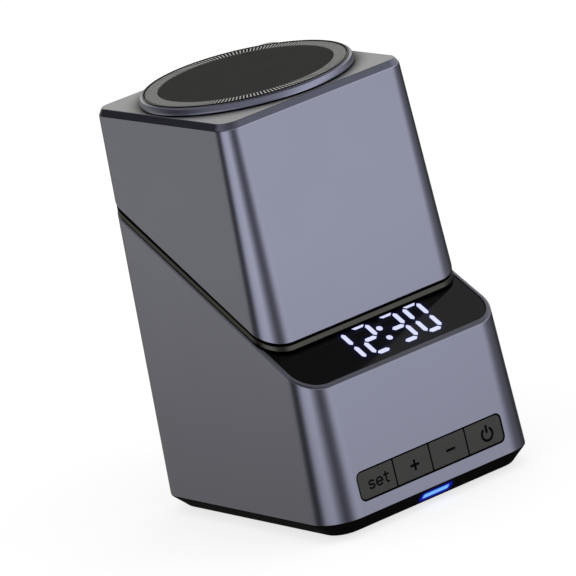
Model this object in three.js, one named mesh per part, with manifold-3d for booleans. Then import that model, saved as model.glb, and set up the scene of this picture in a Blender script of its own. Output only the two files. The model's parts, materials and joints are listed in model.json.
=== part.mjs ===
// Charging stand clock
// A tapered metal tower is cut by a slanted swivel joint. The base shows the time and carries the keys.
// The head turns half a turn, to lay its charging puck flat or to lean it towards the user.
// Millimetres, +Z up, the front faces -Y, and the origin is on the ground below the middle of the base.

import * as THREE from 'three';
import { mergeVertices } from 'three/addons/utils/BufferGeometryUtils.js';
import Module from 'manifold-3d';

const wasm = await Module();
wasm.setup();

// Clearances
const fitGap = 0.3;
const seamGap = 0.15;
const turnGap = 0.3;
const keyGap = 0.45;
const bandGap = 0.75;

// Tower outline at the lower edge of the metal, and how it tapers upwards
const baseWidth = 69.6;
const baseDepth = 82.9;
const metalHeight = 106.9;
const sideDraftDegrees = 2.42;
const backDraftDegrees = 2.54;
const frontDraftDegrees = 1.5;
const footCornerRadius = 9.7;
const topCornerRadius = 4.5;
const leastInnerRadius = 0.8;
const headSetback = 13.0;
const shellWall = 2.2;
const topWall = 2.4;
const topBevelRun = 1.05;
const topBevelRise = 1.85;

// Slanted joint and the base's rim
const frontRimHeight = 36.9;
const slantDegrees = 29.5;
const splitGap = 3.2;
const rimBevel = 0.35;
const rimWidth = 1.35;
const deckRecess = 0.3;
const deckThickness = 2.0;
const bearingPlateThickness = 2.3;
const ledgeWidth = 1.2;
const ledgeThickness = 1.6;
const ledgeTaper = 1.8;

// Tray, feet and tray screws
const footProud = 0.8;
const footRadius = 5.0;
const footSink = 0.8;
const footEdge = 3.0;
const skirtHeight = 4.25;
const skirtInset = 4.33;
const trayFloor = 2.0;
const trayFloorEdge = 1.0;
const trayLipWall = 1.5;
const trayLipHeight = 1.2;
const trayBossHeight = 3.8;
const trayBossRadius = 4.4;
const trayScrewInset = 9.8;
const trayScrewEndInset = 24.45;
const trayScrewLength = 9.0;
const trayScrewRadius = 1.4;
const trayScrewHeadRadius = 2.7;
const trayScrewHeadHeight = 1.4;
const postRadius = 3.2;
const postHeight = 14.0;
const ribThickness = 2.0;

// Status light in the tray's front skirt
const lightWidth = 9.2;
const lightHeight = 2.6;
const lightDepth = 3.0;
const lightUpSkirt = 2.8;
const ledWidth = 3.2;
const ledHeight = 1.4;
const ledThickness = 1.0;

// Ballast, main board and power socket
const ballastWidth = 38;
const ballastDepth = 38;
const ballastThickness = 5.0;
const ballastFrontGap = 12.5;
const boardWidth = 40;
const boardDepth = 24;
const boardThickness = 1.6;
const boardHeight = 5.7;
const boardBackGap = 4.9;
const standoffRadius = 2.2;
const standoffInset = 3.5;
const socketWidth = 8.94;
const socketHeight = 3.26;
const socketLength = 7.3;
const socketWall = 0.3;
const socketBackWall = 1.1;
const socketRecess = 0.4;
const tongueWidth = 6.7;
const tongueThickness = 0.7;
const tongueShort = 0.9;
const buzzerRadius = 4.5;
const buzzerHeight = 4.0;
const buzzerHoleRadius = 1.0;
const buzzerHoleDepth = 1.5;

// Display below the deck
const displayFromRim = 10.0;
const displayWidth = 34;
const displayHeight = 13.6;
const displayThickness = 4.5;
const displayBoardWidth = 40;
const displayBoardHeight = 15.4;
const displayBoardThickness = 1.2;

// Keys in the front face
const keyCount = 4;
const keyRowHeight = 7.9;
const keySideMargin = 10.6;
const keyCapHeight = 7.4;
const keyStripCorner = 1.4;
const keyInnerCorner = 0.2;
const keyRecess = 0.1;
const keyTravel = 0.5;
const keyRestGap = 0.2;
const keyFlangeLip = 1.0;
const keyFlangeThickness = 1.2;
const keyPostRadius = 1.6;
const keyPostLength = 1.3;
const guideWall = 1.2;
const switchSize = 4.6;
const switchThickness = 1.5;
const plungerRadius = 1.2;
const plungerLength = 0.6;
const keyBoardThickness = 1.2;

// Swivel
const collarInset = 0.9;
const collarLift = 0.35;
const collarFloorThickness = 2.25;
const spigotWall = 1.7;
const spigotHeight = 3.6;
const shaftRadius = 9.0;
const shaftBore = 6.2;
const shaftFlangeRadius = 14.0;
const shaftFlangeThickness = 2.0;
const bushWall = 1.7;
const bushFlangeRadius = 14.0;
const bushFlangeThickness = 1.2;
const glideInnerRadius = 19.0;
const glideOuterRadius = 25.0;
const washerRadius = 12.5;
const washerThickness = 0.8;
const stopPlateRadius = 13.0;
const stopPlateThickness = 1.6;
const stopReach = 4.0;
const stopTravelDegrees = 180;
const stopSlackDegrees = 2;
const stopScrewCount = 3;
const stopScrewRadius = 0.8;
const stopScrewHeadRadius = 1.6;
const stopScrewHeadHeight = 1.0;
const stopScrewLength = 6.0;
const collarScrewSideInset = 8.6;
const collarScrewEndInset = 13.3;
const collarScrewRadius = 1.2;
const collarScrewHeadRadius = 2.4;
const collarScrewHeadHeight = 0.8;
const collarScrewLength = 8.5;
const collarSeatDepth = 1.25;
const headPostHeight = 10.0;

// Charging puck on the head's top face
const puckSideGap = 1.08;
const puckLift = 0.3;
const puckHeight = 2.6;
const puckEdge = 0.3;
const puckShoulderStep = 1.6;
const puckShoulderGap = 0.15;
const puckRimWidth = 1.65;
const puckSeatDepth = 1.2;
const puckMembrane = 0.8;
const puckNeckStep = 4.7;
const puckNeckWall = 3.1;
const ribbedWidth = 3.45;
const padDrop = 0.1;
const padEdge = 0.25;
const ribbedDrop = 0.15;
const coilThickness = 1.3;
const coilBore = 4.0;
const ferriteThickness = 0.7;
const magnetWidth = 3.6;
const clampThickness = 2.0;
const clampBore = 8.0;
const clampLip = 2.9;
const puckScrewCount = 3;
const puckScrewRadius = 0.85;
const puckScrewHeadRadius = 1.9;
const puckScrewHeadHeight = 1.3;
const puckScrewLength = 5.2;
const chargerBoardInset = 4.5;
const chargerBoardThickness = 1.2;
const chargerLegLength = 4.8;
const chargerLegRadius = 2.0;
const chargerLegInset = 5.0;

// Leads
const leadRadius = 1.2;
const leadMeeting = 8.0;
const leadRise = 12;
const leadEntry = 12;
const leadInset = 10;
const leadSides = 8;
const leadSteps = 12;

// Drive sockets in the screw heads, narrower than the shanks by this step
const screwSocketStep = 0.3;

// Facets
const cornerSegments = 7;
const arcSegments = 4;
const puckSegments = 44;
const roundSegments = 24;
const smallSegments = 8;
const mergeTolerance = 1e-4;
const cutReach = 6;

const radians = THREE.MathUtils.degToRad;
const sideDraft = radians(sideDraftDegrees);
const backDraft = radians(backDraftDegrees);
const frontDraft = radians(frontDraftDegrees);
const slant = radians(slantDegrees);
const quarterTurn = Math.PI / 2;
const fullTurnDegrees = 360;

// Levels above the ground
const metalEdge = footProud + skirtHeight;
const headEdge = metalEdge + metalHeight;
const topFace = headEdge + topBevelRise;
const trayFloorTop = footProud + trayFloor;
const trayBossTop = footProud + trayBossHeight;
const boardBottom = trayFloorTop + boardHeight;
const boardTop = boardBottom + boardThickness;

// Levels along the joint's normal, counted from the base's rim
const deckTop = -deckRecess;
const deckBottom = deckTop - deckThickness;
const plateTop = deckBottom - fitGap;
const plateBottom = plateTop - bearingPlateThickness;
const ledgeTop = plateBottom - fitGap;
const ledgeBottom = ledgeTop - ledgeThickness;
const collarTop = splitGap - bandGap;
const collarFloor = collarLift + collarFloorThickness;
const spigotTop = collarTop + spigotHeight;
const shaftFlangeBottom = collarFloor + fitGap;
const shaftFlangeTop = shaftFlangeBottom + shaftFlangeThickness;
const bushFlangeTop = plateBottom - fitGap;
const bushFlangeBottom = bushFlangeTop - bushFlangeThickness;
const washerTop = bushFlangeBottom - fitGap;
const washerBottom = washerTop - washerThickness;
const stopTop = washerBottom - fitGap;
const stopBottom = stopTop - stopPlateThickness;
const shaftBottom = stopTop + fitGap;

// Surface finishes
const finishes = {
  metal: { color: 0x8e90a5, roughness: 0.4, metalness: 0.85 },
  blackPlastic: { color: 0x121211, roughness: 0.5, metalness: 0 },
  glass: { color: 0x0c0c0d, roughness: 0.08, metalness: 0 },
  band: { color: 0x55564f, roughness: 0.5, metalness: 0 },
  key: { color: 0x3e3f3c, roughness: 0.6, metalness: 0 },
  pad: { color: 0x333333, roughness: 0.7, metalness: 0 },
  ribbed: { color: 0x696a68, roughness: 0.55, metalness: 0 },
  rubber: { color: 0x1c1c1c, roughness: 0.9, metalness: 0 },
  light: { color: 0x5aaaff, roughness: 0.3, metalness: 0 },
  steel: { color: 0xa5a7aa, roughness: 0.35, metalness: 1 },
  board: { color: 0x1d5a3a, roughness: 0.6, metalness: 0 },
  copper: { color: 0xb87333, roughness: 0.4, metalness: 1 },
  ferrite: { color: 0x2b2b2d, roughness: 0.7, metalness: 0 },
  lead: { color: 0x202020, roughness: 0.7, metalness: 0 },
  nylon: { color: 0xd9d6cc, roughness: 0.6, metalness: 0 },
};

// Solids

function toSolid(geometry) {
  const bare = geometry.clone();
  bare.deleteAttribute('normal');
  bare.deleteAttribute('uv');
  const merged = mergeVertices(bare, mergeTolerance);
  const corners = merged.index.array;
  const kept = [];
  for (let i = 0; i < corners.length; i += 3) {
    const [a, b, c] = corners.slice(i, i + 3);
    if (a !== b && b !== c && c !== a) {
      kept.push(a, b, c);
    }
  }
  const vertProperties = new Float32Array(merged.attributes.position.array);
  const triVerts = new Uint32Array(kept);
  return new wasm.Manifold(new wasm.Mesh({ numProp: 3, vertProperties, triVerts }));
}

function toGeometry(solid) {
  const mesh = solid.getMesh();
  const geometry = new THREE.BufferGeometry();
  geometry.setAttribute('position', new THREE.BufferAttribute(mesh.vertProperties, 3));
  geometry.setIndex(new THREE.BufferAttribute(mesh.triVerts, 1));
  geometry.computeVertexNormals();
  return geometry;
}

function join(geometry, additions) {
  const solid = additions.reduce((sum, addition) => sum.add(toSolid(addition)), toSolid(geometry));
  return toGeometry(solid);
}

function cut(geometry, cutters) {
  const solid = cutters.reduce((rest, cutter) => rest.subtract(toSolid(cutter)), toSolid(geometry));
  return toGeometry(solid);
}

// Skin over rings of matching points: closed on itself like a tube wall, or capped at both ends
function skin(rings, closed) {
  const count = rings[0].length;
  const index = [];
  const bands = closed ? rings.length : rings.length - 1;
  for (let band = 0; band < bands; band += 1) {
    const lower = band * count;
    const upper = ((band + 1) % rings.length) * count;
    for (let i = 0; i < count; i += 1) {
      const next = (i + 1) % count;
      index.push(lower + i, lower + next, upper + next);
      index.push(lower + i, upper + next, upper + i);
    }
  }
  if (!closed) {
    const last = (rings.length - 1) * count;
    for (let i = 1; i + 1 < count; i += 1) {
      index.push(0, i + 1, i);
      index.push(last, last + i, last + i + 1);
    }
  }
  const geometry = new THREE.BufferGeometry().setFromPoints(rings.flat());
  geometry.setIndex(index);
  geometry.computeVertexNormals();
  return geometry;
}

// Solid of revolution about Z from a profile of [radius, height] points, drawn counter-clockwise
function turned(profile, segments) {
  const points = profile.map(([radius, height]) => new THREE.Vector2(radius, height));
  return new THREE.LatheGeometry(points, segments).rotateX(quarterTurn);
}

function disc(radius, bottom, top, segments) {
  return turned([[0, bottom], [radius, bottom], [radius, top], [0, top]], segments);
}

function washer(inner, outer, bottom, top, segments) {
  const start = [inner, bottom];
  return turned([start, [outer, bottom], [outer, top], [inner, top], start], segments);
}

function prism(shape, bottom, top) {
  const depth = top - bottom;
  const geometry = new THREE.ExtrudeGeometry(shape, { depth, bevelEnabled: false, curveSegments: arcSegments });
  return geometry.translate(0, 0, bottom);
}

function block(width, depth, bottom, top) {
  return new THREE.BoxGeometry(width, depth, top - bottom).translate(0, 0, (bottom + top) / 2);
}

// Rectangle about the origin whose left and right corners have their own radius
function plateShape(width, height, leftRadius, rightRadius = leftRadius) {
  const x = width / 2;
  const y = height / 2;
  const shape = new THREE.Shape();
  shape.moveTo(leftRadius - x, -y);
  shape.lineTo(x - rightRadius, -y);
  shape.absarc(x - rightRadius, rightRadius - y, rightRadius, -quarterTurn, 0);
  shape.absarc(x - rightRadius, y - rightRadius, rightRadius, 0, quarterTurn);
  shape.absarc(leftRadius - x, y - leftRadius, leftRadius, quarterTurn, 2 * quarterTurn);
  shape.absarc(leftRadius - x, leftRadius - y, leftRadius, 2 * quarterTurn, 3 * quarterTurn);
  return shape;
}

// Piece of a ring between two angles
function sectorShape(inner, outer, start, end) {
  const shape = new THREE.Shape();
  shape.absarc(0, 0, outer, start, end, false);
  shape.absarc(0, 0, inner, end, start, true);
  return shape;
}

// Screw with its head below the origin and its shank upwards
function screw(headRadius, headHeight, shankRadius, shankLength) {
  const socketRadius = shankRadius - screwSocketStep;
  const socketTop = -headHeight / 2;
  return turned([
    [0, socketTop],
    [socketRadius, socketTop],
    [socketRadius, -headHeight],
    [headRadius, -headHeight],
    [headRadius, 0],
    [shankRadius, 0],
    [shankRadius, shankLength],
    [0, shankLength],
  ], smallSegments);
}

function lead(points) {
  const extrudePath = new THREE.CatmullRomCurve3(points, false, 'centripetal');
  const section = new THREE.Shape();
  for (let side = 0; side < leadSides; side += 1) {
    const angle = (2 * Math.PI * side) / leadSides;
    const x = leadRadius * Math.cos(angle);
    const y = leadRadius * Math.sin(angle);
    if (side === 0) {
      section.moveTo(x, y);
    } else {
      section.lineTo(x, y);
    }
  }
  return new THREE.ExtrudeGeometry(section, { steps: leadSteps, extrudePath, bevelEnabled: false });
}

// Tower: a tapered block with rounded corners, whose edges run straight from the foot to the top

function meet(foot, top, plane) {
  const edge = top.clone().sub(foot);
  const share = -plane.distanceToPoint(foot) / plane.normal.dot(edge);
  return foot.clone().addScaledVector(edge, share);
}

function levelPlane(height) {
  return new THREE.Plane(new THREE.Vector3(0, 0, 1), -height);
}

class Tower {
  constructor(setback) {
    this.setback = setback;
  }

  section(height, inset) {
    const lowRadius = Math.max(footCornerRadius - inset, leastInnerRadius);
    const highRadius = Math.max(topCornerRadius - inset, leastInnerRadius);
    return {
      halfWidth: baseWidth / 2 - Math.tan(sideDraft) * height - inset,
      back: baseDepth / 2 - Math.tan(backDraft) * height - inset,
      front: this.setback - baseDepth / 2 + Math.tan(frontDraft) * height + inset,
      radius: THREE.MathUtils.lerp(lowRadius, highRadius, height / metalHeight),
    };
  }

  outline(height, inset) {
    const { halfWidth, back, front, radius } = this.section(height, inset);
    const centres = [
      [halfWidth - radius, back - radius],
      [radius - halfWidth, back - radius],
      [radius - halfWidth, front + radius],
      [halfWidth - radius, front + radius],
    ];
    const points = [];
    centres.forEach(([x, y], quarter) => {
      for (let step = 0; step <= cornerSegments; step += 1) {
        const angle = (quarter + step / cornerSegments) * quarterTurn;
        const across = x + radius * Math.cos(angle);
        const along = y + radius * Math.sin(angle);
        points.push(new THREE.Vector3(across, along, metalEdge + height));
      }
    });
    return points;
  }

  ring(inset, plane) {
    const high = this.outline(metalHeight, inset);
    return this.outline(0, inset).map((foot, i) => meet(foot, high[i], plane));
  }

  // Middle of the front or the back face where it meets a plane
  middle(face, inset, plane) {
    const foot = new THREE.Vector3(0, this.section(0, inset)[face], metalEdge);
    const top = new THREE.Vector3(0, this.section(metalHeight, inset)[face], headEdge);
    return meet(foot, top, plane);
  }
}

const baseTower = new Tower(0);
const headTower = new Tower(headSetback);

// Slanted joint: its normal, its planes and the swivel axis through the middle of the head's lower edge
const slantNormal = new THREE.Vector3(0, -Math.sin(slant), Math.cos(slant));
const rimFront = baseTower.middle('front', 0, levelPlane(metalEdge + frontRimHeight));

function slantPlane(level) {
  const point = rimFront.clone().addScaledVector(slantNormal, level);
  return new THREE.Plane().setFromNormalAndCoplanarPoint(slantNormal, point);
}

const headLowFront = headTower.middle('front', 0, slantPlane(splitGap));
const headLowBack = headTower.middle('back', 0, slantPlane(splitGap));
const swivelPoint = headLowFront.clone().lerp(headLowBack, 0.5).addScaledVector(slantNormal, -splitGap);

// Frames that carry the pieces

function frameAt(position, turn) {
  const frame = new THREE.Object3D();
  frame.position.copy(position);
  frame.rotation.x = turn;
  frame.updateMatrix();
  return frame;
}

function placed(geometry, frame) {
  return geometry.clone().applyMatrix4(frame.matrix);
}

function groupIn(parent, frame) {
  const group = new THREE.Group();
  group.position.copy(frame.position);
  group.rotation.copy(frame.rotation);
  parent.add(group);
  return group;
}

const swivelFrame = frameAt(swivelPoint, slant);
const keyFrame = frameAt(
  baseTower.middle('front', 0, levelPlane(metalEdge + keyRowHeight)),
  quarterTurn - frontDraft,
);
const skirtFoot = baseTower.middle('front', skirtInset, levelPlane(footProud));
const skirtTop = baseTower.middle('front', 0, levelPlane(metalEdge - seamGap));
const skirtLean = Math.atan2(skirtFoot.y - skirtTop.y, skirtTop.z - skirtFoot.z);
const skirtUp = skirtTop.clone().sub(skirtFoot).normalize();
const skirtFrame = frameAt(
  skirtFoot.clone().addScaledVector(skirtUp, lightUpSkirt),
  quarterTurn + skirtLean,
);
const topSection = headTower.section(metalHeight, 0);
const topHalfDepth = (topSection.back - topSection.front) / 2;
const puckRadius = Math.min(topSection.halfWidth, topHalfDepth) - puckSideGap;
const puckNeckRadius = puckRadius - puckNeckStep;
const puckFrame = frameAt(new THREE.Vector3(0, topSection.back - topHalfDepth, topFace), 0);
const displayY = (rimFront.y - swivelPoint.y) / Math.cos(slant) + displayFromRim;

const clock = new THREE.Group();
const base = new THREE.Group();
const head = new THREE.Group();
clock.add(base, head);

function addPiece(parent, name, geometry, finish) {
  const mesh = new THREE.Mesh(geometry, new THREE.MeshStandardMaterial(finishes[finish]));
  mesh.name = name;
  parent.add(mesh);
  return mesh;
}

// Four places mirrored about both middle planes
function mirroredFour(x, y) {
  return [[x, y], [-x, y], [-x, -y], [x, -y]];
}

function circlePlaces(count, radius) {
  return Array.from({ length: count }, (_, i) => {
    const angle = quarterTurn + (2 * Math.PI * i) / count;
    return [radius * Math.cos(angle), radius * Math.sin(angle)];
  });
}

// Base shell

const trayScrewPlaces = mirroredFour(baseWidth / 2 - trayScrewInset, baseDepth / 2 - trayScrewEndInset);
const trayHoleRadius = trayScrewRadius + fitGap;
const postBottom = trayBossTop + fitGap;
const postTop = postBottom + postHeight;
const trayScrewSeat = trayFloorTop - fitGap;
const socketHeightAboveGround = boardTop + fitGap + socketHeight / 2;
const socketMouth = baseTower.middle('back', socketRecess, levelPlane(socketHeightAboveGround)).y;
const keyStripWidth = baseWidth - 2 * keySideMargin;
const keyPitch = keyStripWidth / keyCount;
const keySlotWidth = keyStripWidth + keyGap;
const keySlotHeight = keyCapHeight + 2 * keyGap;
const keySlotCorner = keyStripCorner + keyGap;

// Screw post with a rib above its foot that reaches into the side wall
function screwPost(x, y, bottom, ribBottom, top, wallX) {
  const post = disc(postRadius, bottom, top, smallSegments).translate(x, y, 0);
  const reach = wallX - Math.abs(x);
  const rib = block(reach, ribThickness, ribBottom, top);
  return [post, rib.translate(x + Math.sign(x) * (reach / 2), y, 0)];
}

function socketShape(grow) {
  const height = socketHeight + 2 * grow;
  return plateShape(socketWidth + 2 * grow, height, height / 2 - mergeTolerance);
}

function socketPrism(grow, front, back) {
  return prism(socketShape(grow), front, back).rotateX(-quarterTurn).translate(0, 0, socketHeightAboveGround);
}

function makeBaseShell() {
  const ledgeInset = shellWall + ledgeWidth;
  const wall = skin([
    baseTower.ring(0, levelPlane(metalEdge)),
    baseTower.ring(0, slantPlane(-rimBevel)),
    baseTower.ring(rimBevel, slantPlane(0)),
    baseTower.ring(rimWidth, slantPlane(0)),
    baseTower.ring(rimWidth, slantPlane(ledgeTop)),
    baseTower.ring(ledgeInset, slantPlane(ledgeTop)),
    baseTower.ring(ledgeInset, slantPlane(ledgeBottom)),
    baseTower.ring(shellWall, slantPlane(ledgeBottom - ledgeTaper)),
    baseTower.ring(shellWall, levelPlane(metalEdge)),
  ], true);
  const wallX = baseTower.section(postTop - metalEdge, shellWall / 2).halfWidth;
  const ribBottom = metalEdge + trayLipHeight + fitGap;
  const posts = trayScrewPlaces.flatMap(([x, y]) => screwPost(x, y, postBottom, ribBottom, postTop, wallX));
  const holeTop = trayScrewSeat + trayScrewLength + fitGap;
  const holes = trayScrewPlaces.map(
    ([x, y]) => disc(trayHoleRadius, postBottom - fitGap, holeTop, smallSegments).translate(x, y, 0),
  );
  const keySlot = prism(plateShape(keySlotWidth, keySlotHeight, keySlotCorner), -cutReach, cutReach);
  const socketSlot = socketPrism(fitGap, socketMouth - cutReach, socketMouth + cutReach);
  return cut(join(wall, posts), [...holes, placed(keySlot, keyFrame), socketSlot]);
}

addPiece(base, 'base_shell', makeBaseShell(), 'metal');

// Bottom tray, feet and tray screws

const footX = baseWidth / 2 - skirtInset - footEdge - footRadius;
const footY = baseDepth / 2 - skirtInset - footEdge - footRadius;
const boardBack = baseDepth / 2 - boardBackGap;
const boardFront = boardBack - boardDepth;
const standoffPlaces = [-1, 1].flatMap((side) => {
  const x = side * (boardWidth / 2 - standoffInset);
  return [[x, boardFront + standoffInset], [x, boardBack - standoffInset]];
});

function makeTray() {
  const lipInset = shellWall + fitGap;
  const skirtTopPlane = levelPlane(metalEdge - seamGap);
  const lipTopPlane = levelPlane(metalEdge + trayLipHeight);
  const dish = skin([
    baseTower.ring(skirtInset, levelPlane(footProud)),
    baseTower.ring(0, skirtTopPlane),
    baseTower.ring(lipInset, skirtTopPlane),
    baseTower.ring(lipInset, lipTopPlane),
    baseTower.ring(lipInset + trayLipWall, lipTopPlane),
    baseTower.ring(skirtInset + trayFloorEdge, levelPlane(trayFloorTop)),
  ], false);
  const sunk = trayFloorTop - trayFloor / 4;
  const bosses = trayScrewPlaces.map(
    ([x, y]) => disc(trayBossRadius, sunk, trayBossTop, smallSegments).translate(x, y, 0),
  );
  const standoffs = standoffPlaces.map(
    ([x, y]) => disc(standoffRadius, sunk, boardBottom - fitGap, smallSegments).translate(x, y, 0),
  );
  const holes = trayScrewPlaces.flatMap(([x, y]) => [
    disc(trayHoleRadius, -cutReach, trayBossTop + cutReach, smallSegments).translate(x, y, 0),
    disc(trayScrewHeadRadius + fitGap, -cutReach, trayFloorTop, smallSegments).translate(x, y, 0),
  ]);
  const footSeats = mirroredFour(footX, footY).map(
    ([x, y]) => disc(footRadius + fitGap, -cutReach, footProud + footSink, roundSegments).translate(x, y, 0),
  );
  const slotShape = plateShape(lightWidth + 2 * seamGap, lightHeight + 2 * seamGap, lightHeight / 2);
  const lightSlot = placed(prism(slotShape, -cutReach, cutReach), skirtFrame);
  return cut(join(dish, [...bosses, ...standoffs]), [...holes, ...footSeats, lightSlot]);
}

addPiece(base, 'bottom_tray', makeTray(), 'blackPlastic');

mirroredFour(footX, footY).forEach(([x, y], i) => {
  const footTop = footProud + footSink - fitGap;
  const foot = turned([
    [0, 0],
    [footRadius - fitGap, 0],
    [footRadius, fitGap],
    [footRadius, footTop],
    [0, footTop],
  ], roundSegments);
  addPiece(base, `rubber_foot_${i + 1}`, foot, 'rubber').position.set(x, y, 0);
});

trayScrewPlaces.forEach(([x, y], i) => {
  const shape = screw(trayScrewHeadRadius, trayScrewHeadHeight, trayScrewRadius, trayScrewLength);
  addPiece(base, `tray_screw_${i + 1}`, shape, 'steel').position.set(x, y, trayScrewSeat);
});

// Status light

const skirtGroup = groupIn(base, skirtFrame);
const lightShape = plateShape(lightWidth, lightHeight, lightHeight / 2 - seamGap);
addPiece(skirtGroup, 'status_light_bar', prism(lightShape, -lightDepth, 0), 'light');
const ledTop = -lightDepth - fitGap;
addPiece(skirtGroup, 'status_led', block(ledWidth, ledHeight, ledTop - ledThickness, ledTop), 'nylon');

// Ballast, main board, sounder and power socket

const ballastFront = skirtTop.y + ballastFrontGap;
const ballast = block(ballastWidth, ballastDepth, 0, ballastThickness);
const ballastY = ballastFront + ballastDepth / 2;
addPiece(base, 'ballast_plate', ballast, 'steel').position.set(0, ballastY, trayFloorTop + fitGap);

const boardY = (boardFront + boardBack) / 2;
const mainBoard = prism(plateShape(boardWidth, boardDepth, standoffRadius), 0, boardThickness);
addPiece(base, 'main_board', mainBoard, 'board').position.set(0, boardY, boardBottom);

const buzzer = turned([
  [0, 0],
  [buzzerRadius, 0],
  [buzzerRadius, buzzerHeight],
  [buzzerHoleRadius, buzzerHeight],
  [buzzerHoleRadius, buzzerHeight - buzzerHoleDepth],
  [0, buzzerHeight - buzzerHoleDepth],
], smallSegments);
const buzzerX = boardWidth / 2 - buzzerRadius - standoffInset;
addPiece(base, 'buzzer', buzzer, 'blackPlastic').position.set(buzzerX, boardY, boardTop + fitGap);

function makeSocket() {
  const back = socketMouth - socketLength;
  const shell = socketPrism(0, back, socketMouth);
  const hollow = socketPrism(-socketWall, back + socketBackWall, socketMouth + cutReach);
  const tongueLength = socketLength - socketBackWall / 2 - tongueShort;
  const tongueY = back + socketBackWall / 2 + tongueLength / 2;
  const tongue = new THREE.BoxGeometry(tongueWidth, tongueLength, tongueThickness);
  return join(cut(shell, [hollow]), [tongue.translate(0, tongueY, socketHeightAboveGround)]);
}

addPiece(base, 'usb_inlet', makeSocket(), 'steel');

// Deck and display

const deckInset = rimWidth + fitGap / 2;
const bushOuter = shaftRadius + turnGap + bushWall;

function slantedPlate(tower, inset, bottom, top) {
  return skin([tower.ring(inset, slantPlane(bottom)), tower.ring(inset, slantPlane(top))], false);
}

const deckHole = disc(bushOuter, -cutReach, cutReach, roundSegments);
const deck = slantedPlate(baseTower, deckInset, deckBottom, deckTop);
addPiece(base, 'display_deck', cut(deck, [placed(deckHole, swivelFrame)]), 'glass');

const baseSwivel = groupIn(base, swivelFrame);
const displayTop = deckBottom - fitGap;
const displayBottom = displayTop - displayThickness;
const displayBlock = block(displayWidth, displayHeight, displayBottom, displayTop);
addPiece(baseSwivel, 'display_module', displayBlock, 'blackPlastic').position.y = displayY;
const displayBoardTop = displayBottom - fitGap;
const displayBoardBottom = displayBoardTop - displayBoardThickness;
const displayBoard = block(displayBoardWidth, displayBoardHeight, displayBoardBottom, displayBoardTop);
addPiece(baseSwivel, 'display_board', displayBoard, 'board').position.y = displayY;

// Swivel bearing in the base

const stopInner = bushFlangeRadius + turnGap;
const stopOuter = stopPlateRadius + stopReach;
const stopWidth = radians((fullTurnDegrees - stopTravelDegrees) / 2 - stopSlackDegrees);
const stopMiddle = quarterTurn;
const fingerMiddle = stopMiddle + stopWidth + radians(stopSlackDegrees);

function makeBearingPlate() {
  const plate = slantedPlate(baseTower, deckInset, plateBottom, plateTop);
  const stopShape = sectorShape(
    stopInner,
    stopOuter,
    stopMiddle - stopWidth / 2,
    stopMiddle + stopWidth / 2,
  );
  const stop = prism(stopShape, stopBottom, plateBottom + bearingPlateThickness / 2);
  const bore = disc(bushOuter + fitGap, -cutReach, cutReach, roundSegments).translate(0, 0, plateBottom);
  const window = block(displayWidth + 2 * fitGap, displayHeight + 2 * fitGap, -cutReach, cutReach);
  window.translate(0, displayY, plateBottom);
  const additions = [placed(stop, swivelFrame)];
  return cut(join(plate, additions), [placed(bore, swivelFrame), placed(window, swivelFrame)]);
}

addPiece(base, 'bearing_plate', makeBearingPlate(), 'blackPlastic');

const bushInner = shaftRadius + turnGap;
const bushStart = [bushInner, bushFlangeBottom];
const bush = turned([
  bushStart,
  [bushFlangeRadius, bushFlangeBottom],
  [bushFlangeRadius, bushFlangeTop],
  [bushOuter, bushFlangeTop],
  [bushOuter, plateTop],
  [bushInner, plateTop],
  bushStart,
], roundSegments);
addPiece(baseSwivel, 'swivel_bush', bush, 'nylon');

const glide = washer(glideInnerRadius, glideOuterRadius, deckTop + seamGap, collarLift - seamGap, roundSegments);
addPiece(baseSwivel, 'glide_ring', glide, 'nylon');

const waveWasher = washer(bushInner, washerRadius, washerBottom, washerTop, roundSegments);
addPiece(baseSwivel, 'wave_washer', waveWasher, 'steel');

// Keys, their guide, switches and board

const keyGroup = groupIn(base, keyFrame);
const keyFlangeFront = -shellWall - fitGap;
const keyFlangeBack = keyFlangeFront - keyFlangeThickness;
const keyPostEnd = keyFlangeBack - keyPostLength;
const plungerTop = keyPostEnd - keyTravel - keyRestGap;
const switchTop = plungerTop - plungerLength;
const switchBottom = switchTop - switchThickness;
const keyBoardTop = switchBottom - fitGap;
const keyFlangeHeight = keyCapHeight + 2 * keyFlangeLip;
const guideWidth = keyStripWidth + 2 * fitGap + 2 * guideWall;
const guideHeight = keyFlangeHeight + 2 * fitGap + 2 * guideWall;

function makeKey(leftCorner, rightCorner) {
  const width = keyPitch - keyGap;
  const cap = prism(plateShape(width, keyCapHeight, leftCorner, rightCorner), keyFlangeBack, -keyRecess);
  const flange = block(width, keyFlangeHeight, keyFlangeBack, keyFlangeFront);
  const post = disc(keyPostRadius, keyPostEnd, keyFlangeFront, smallSegments);
  return join(cap, [flange, post]);
}

function makeSwitch() {
  const body = block(switchSize, switchSize, switchBottom, switchTop);
  const plunger = disc(plungerRadius, switchBottom + switchThickness / 2, plungerTop, smallSegments);
  return join(body, [plunger]);
}

['set_key', 'plus_key', 'minus_key', 'power_key'].forEach((name, i) => {
  const keyX = (i - (keyCount - 1) / 2) * keyPitch;
  const leftCorner = i === 0 ? keyStripCorner : keyInnerCorner;
  const rightCorner = i === keyCount - 1 ? keyStripCorner : keyInnerCorner;
  addPiece(keyGroup, name, makeKey(leftCorner, rightCorner), 'key').position.x = keyX;
  addPiece(keyGroup, `key_switch_${i + 1}`, makeSwitch(), 'blackPlastic').position.x = keyX;
});

const guideShape = plateShape(guideWidth, guideHeight, guideWall);
guideShape.holes.push(plateShape(keyStripWidth + 2 * fitGap, keyFlangeHeight + 2 * fitGap, keyInnerCorner));
const guide = prism(guideShape, keyBoardTop + fitGap, -shellWall - fitGap);
addPiece(keyGroup, 'key_guide', guide, 'blackPlastic');
const keyBoard = block(guideWidth, guideHeight, keyBoardTop - keyBoardThickness, keyBoardTop);
addPiece(keyGroup, 'key_board', keyBoard, 'board');

// Head shell

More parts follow.
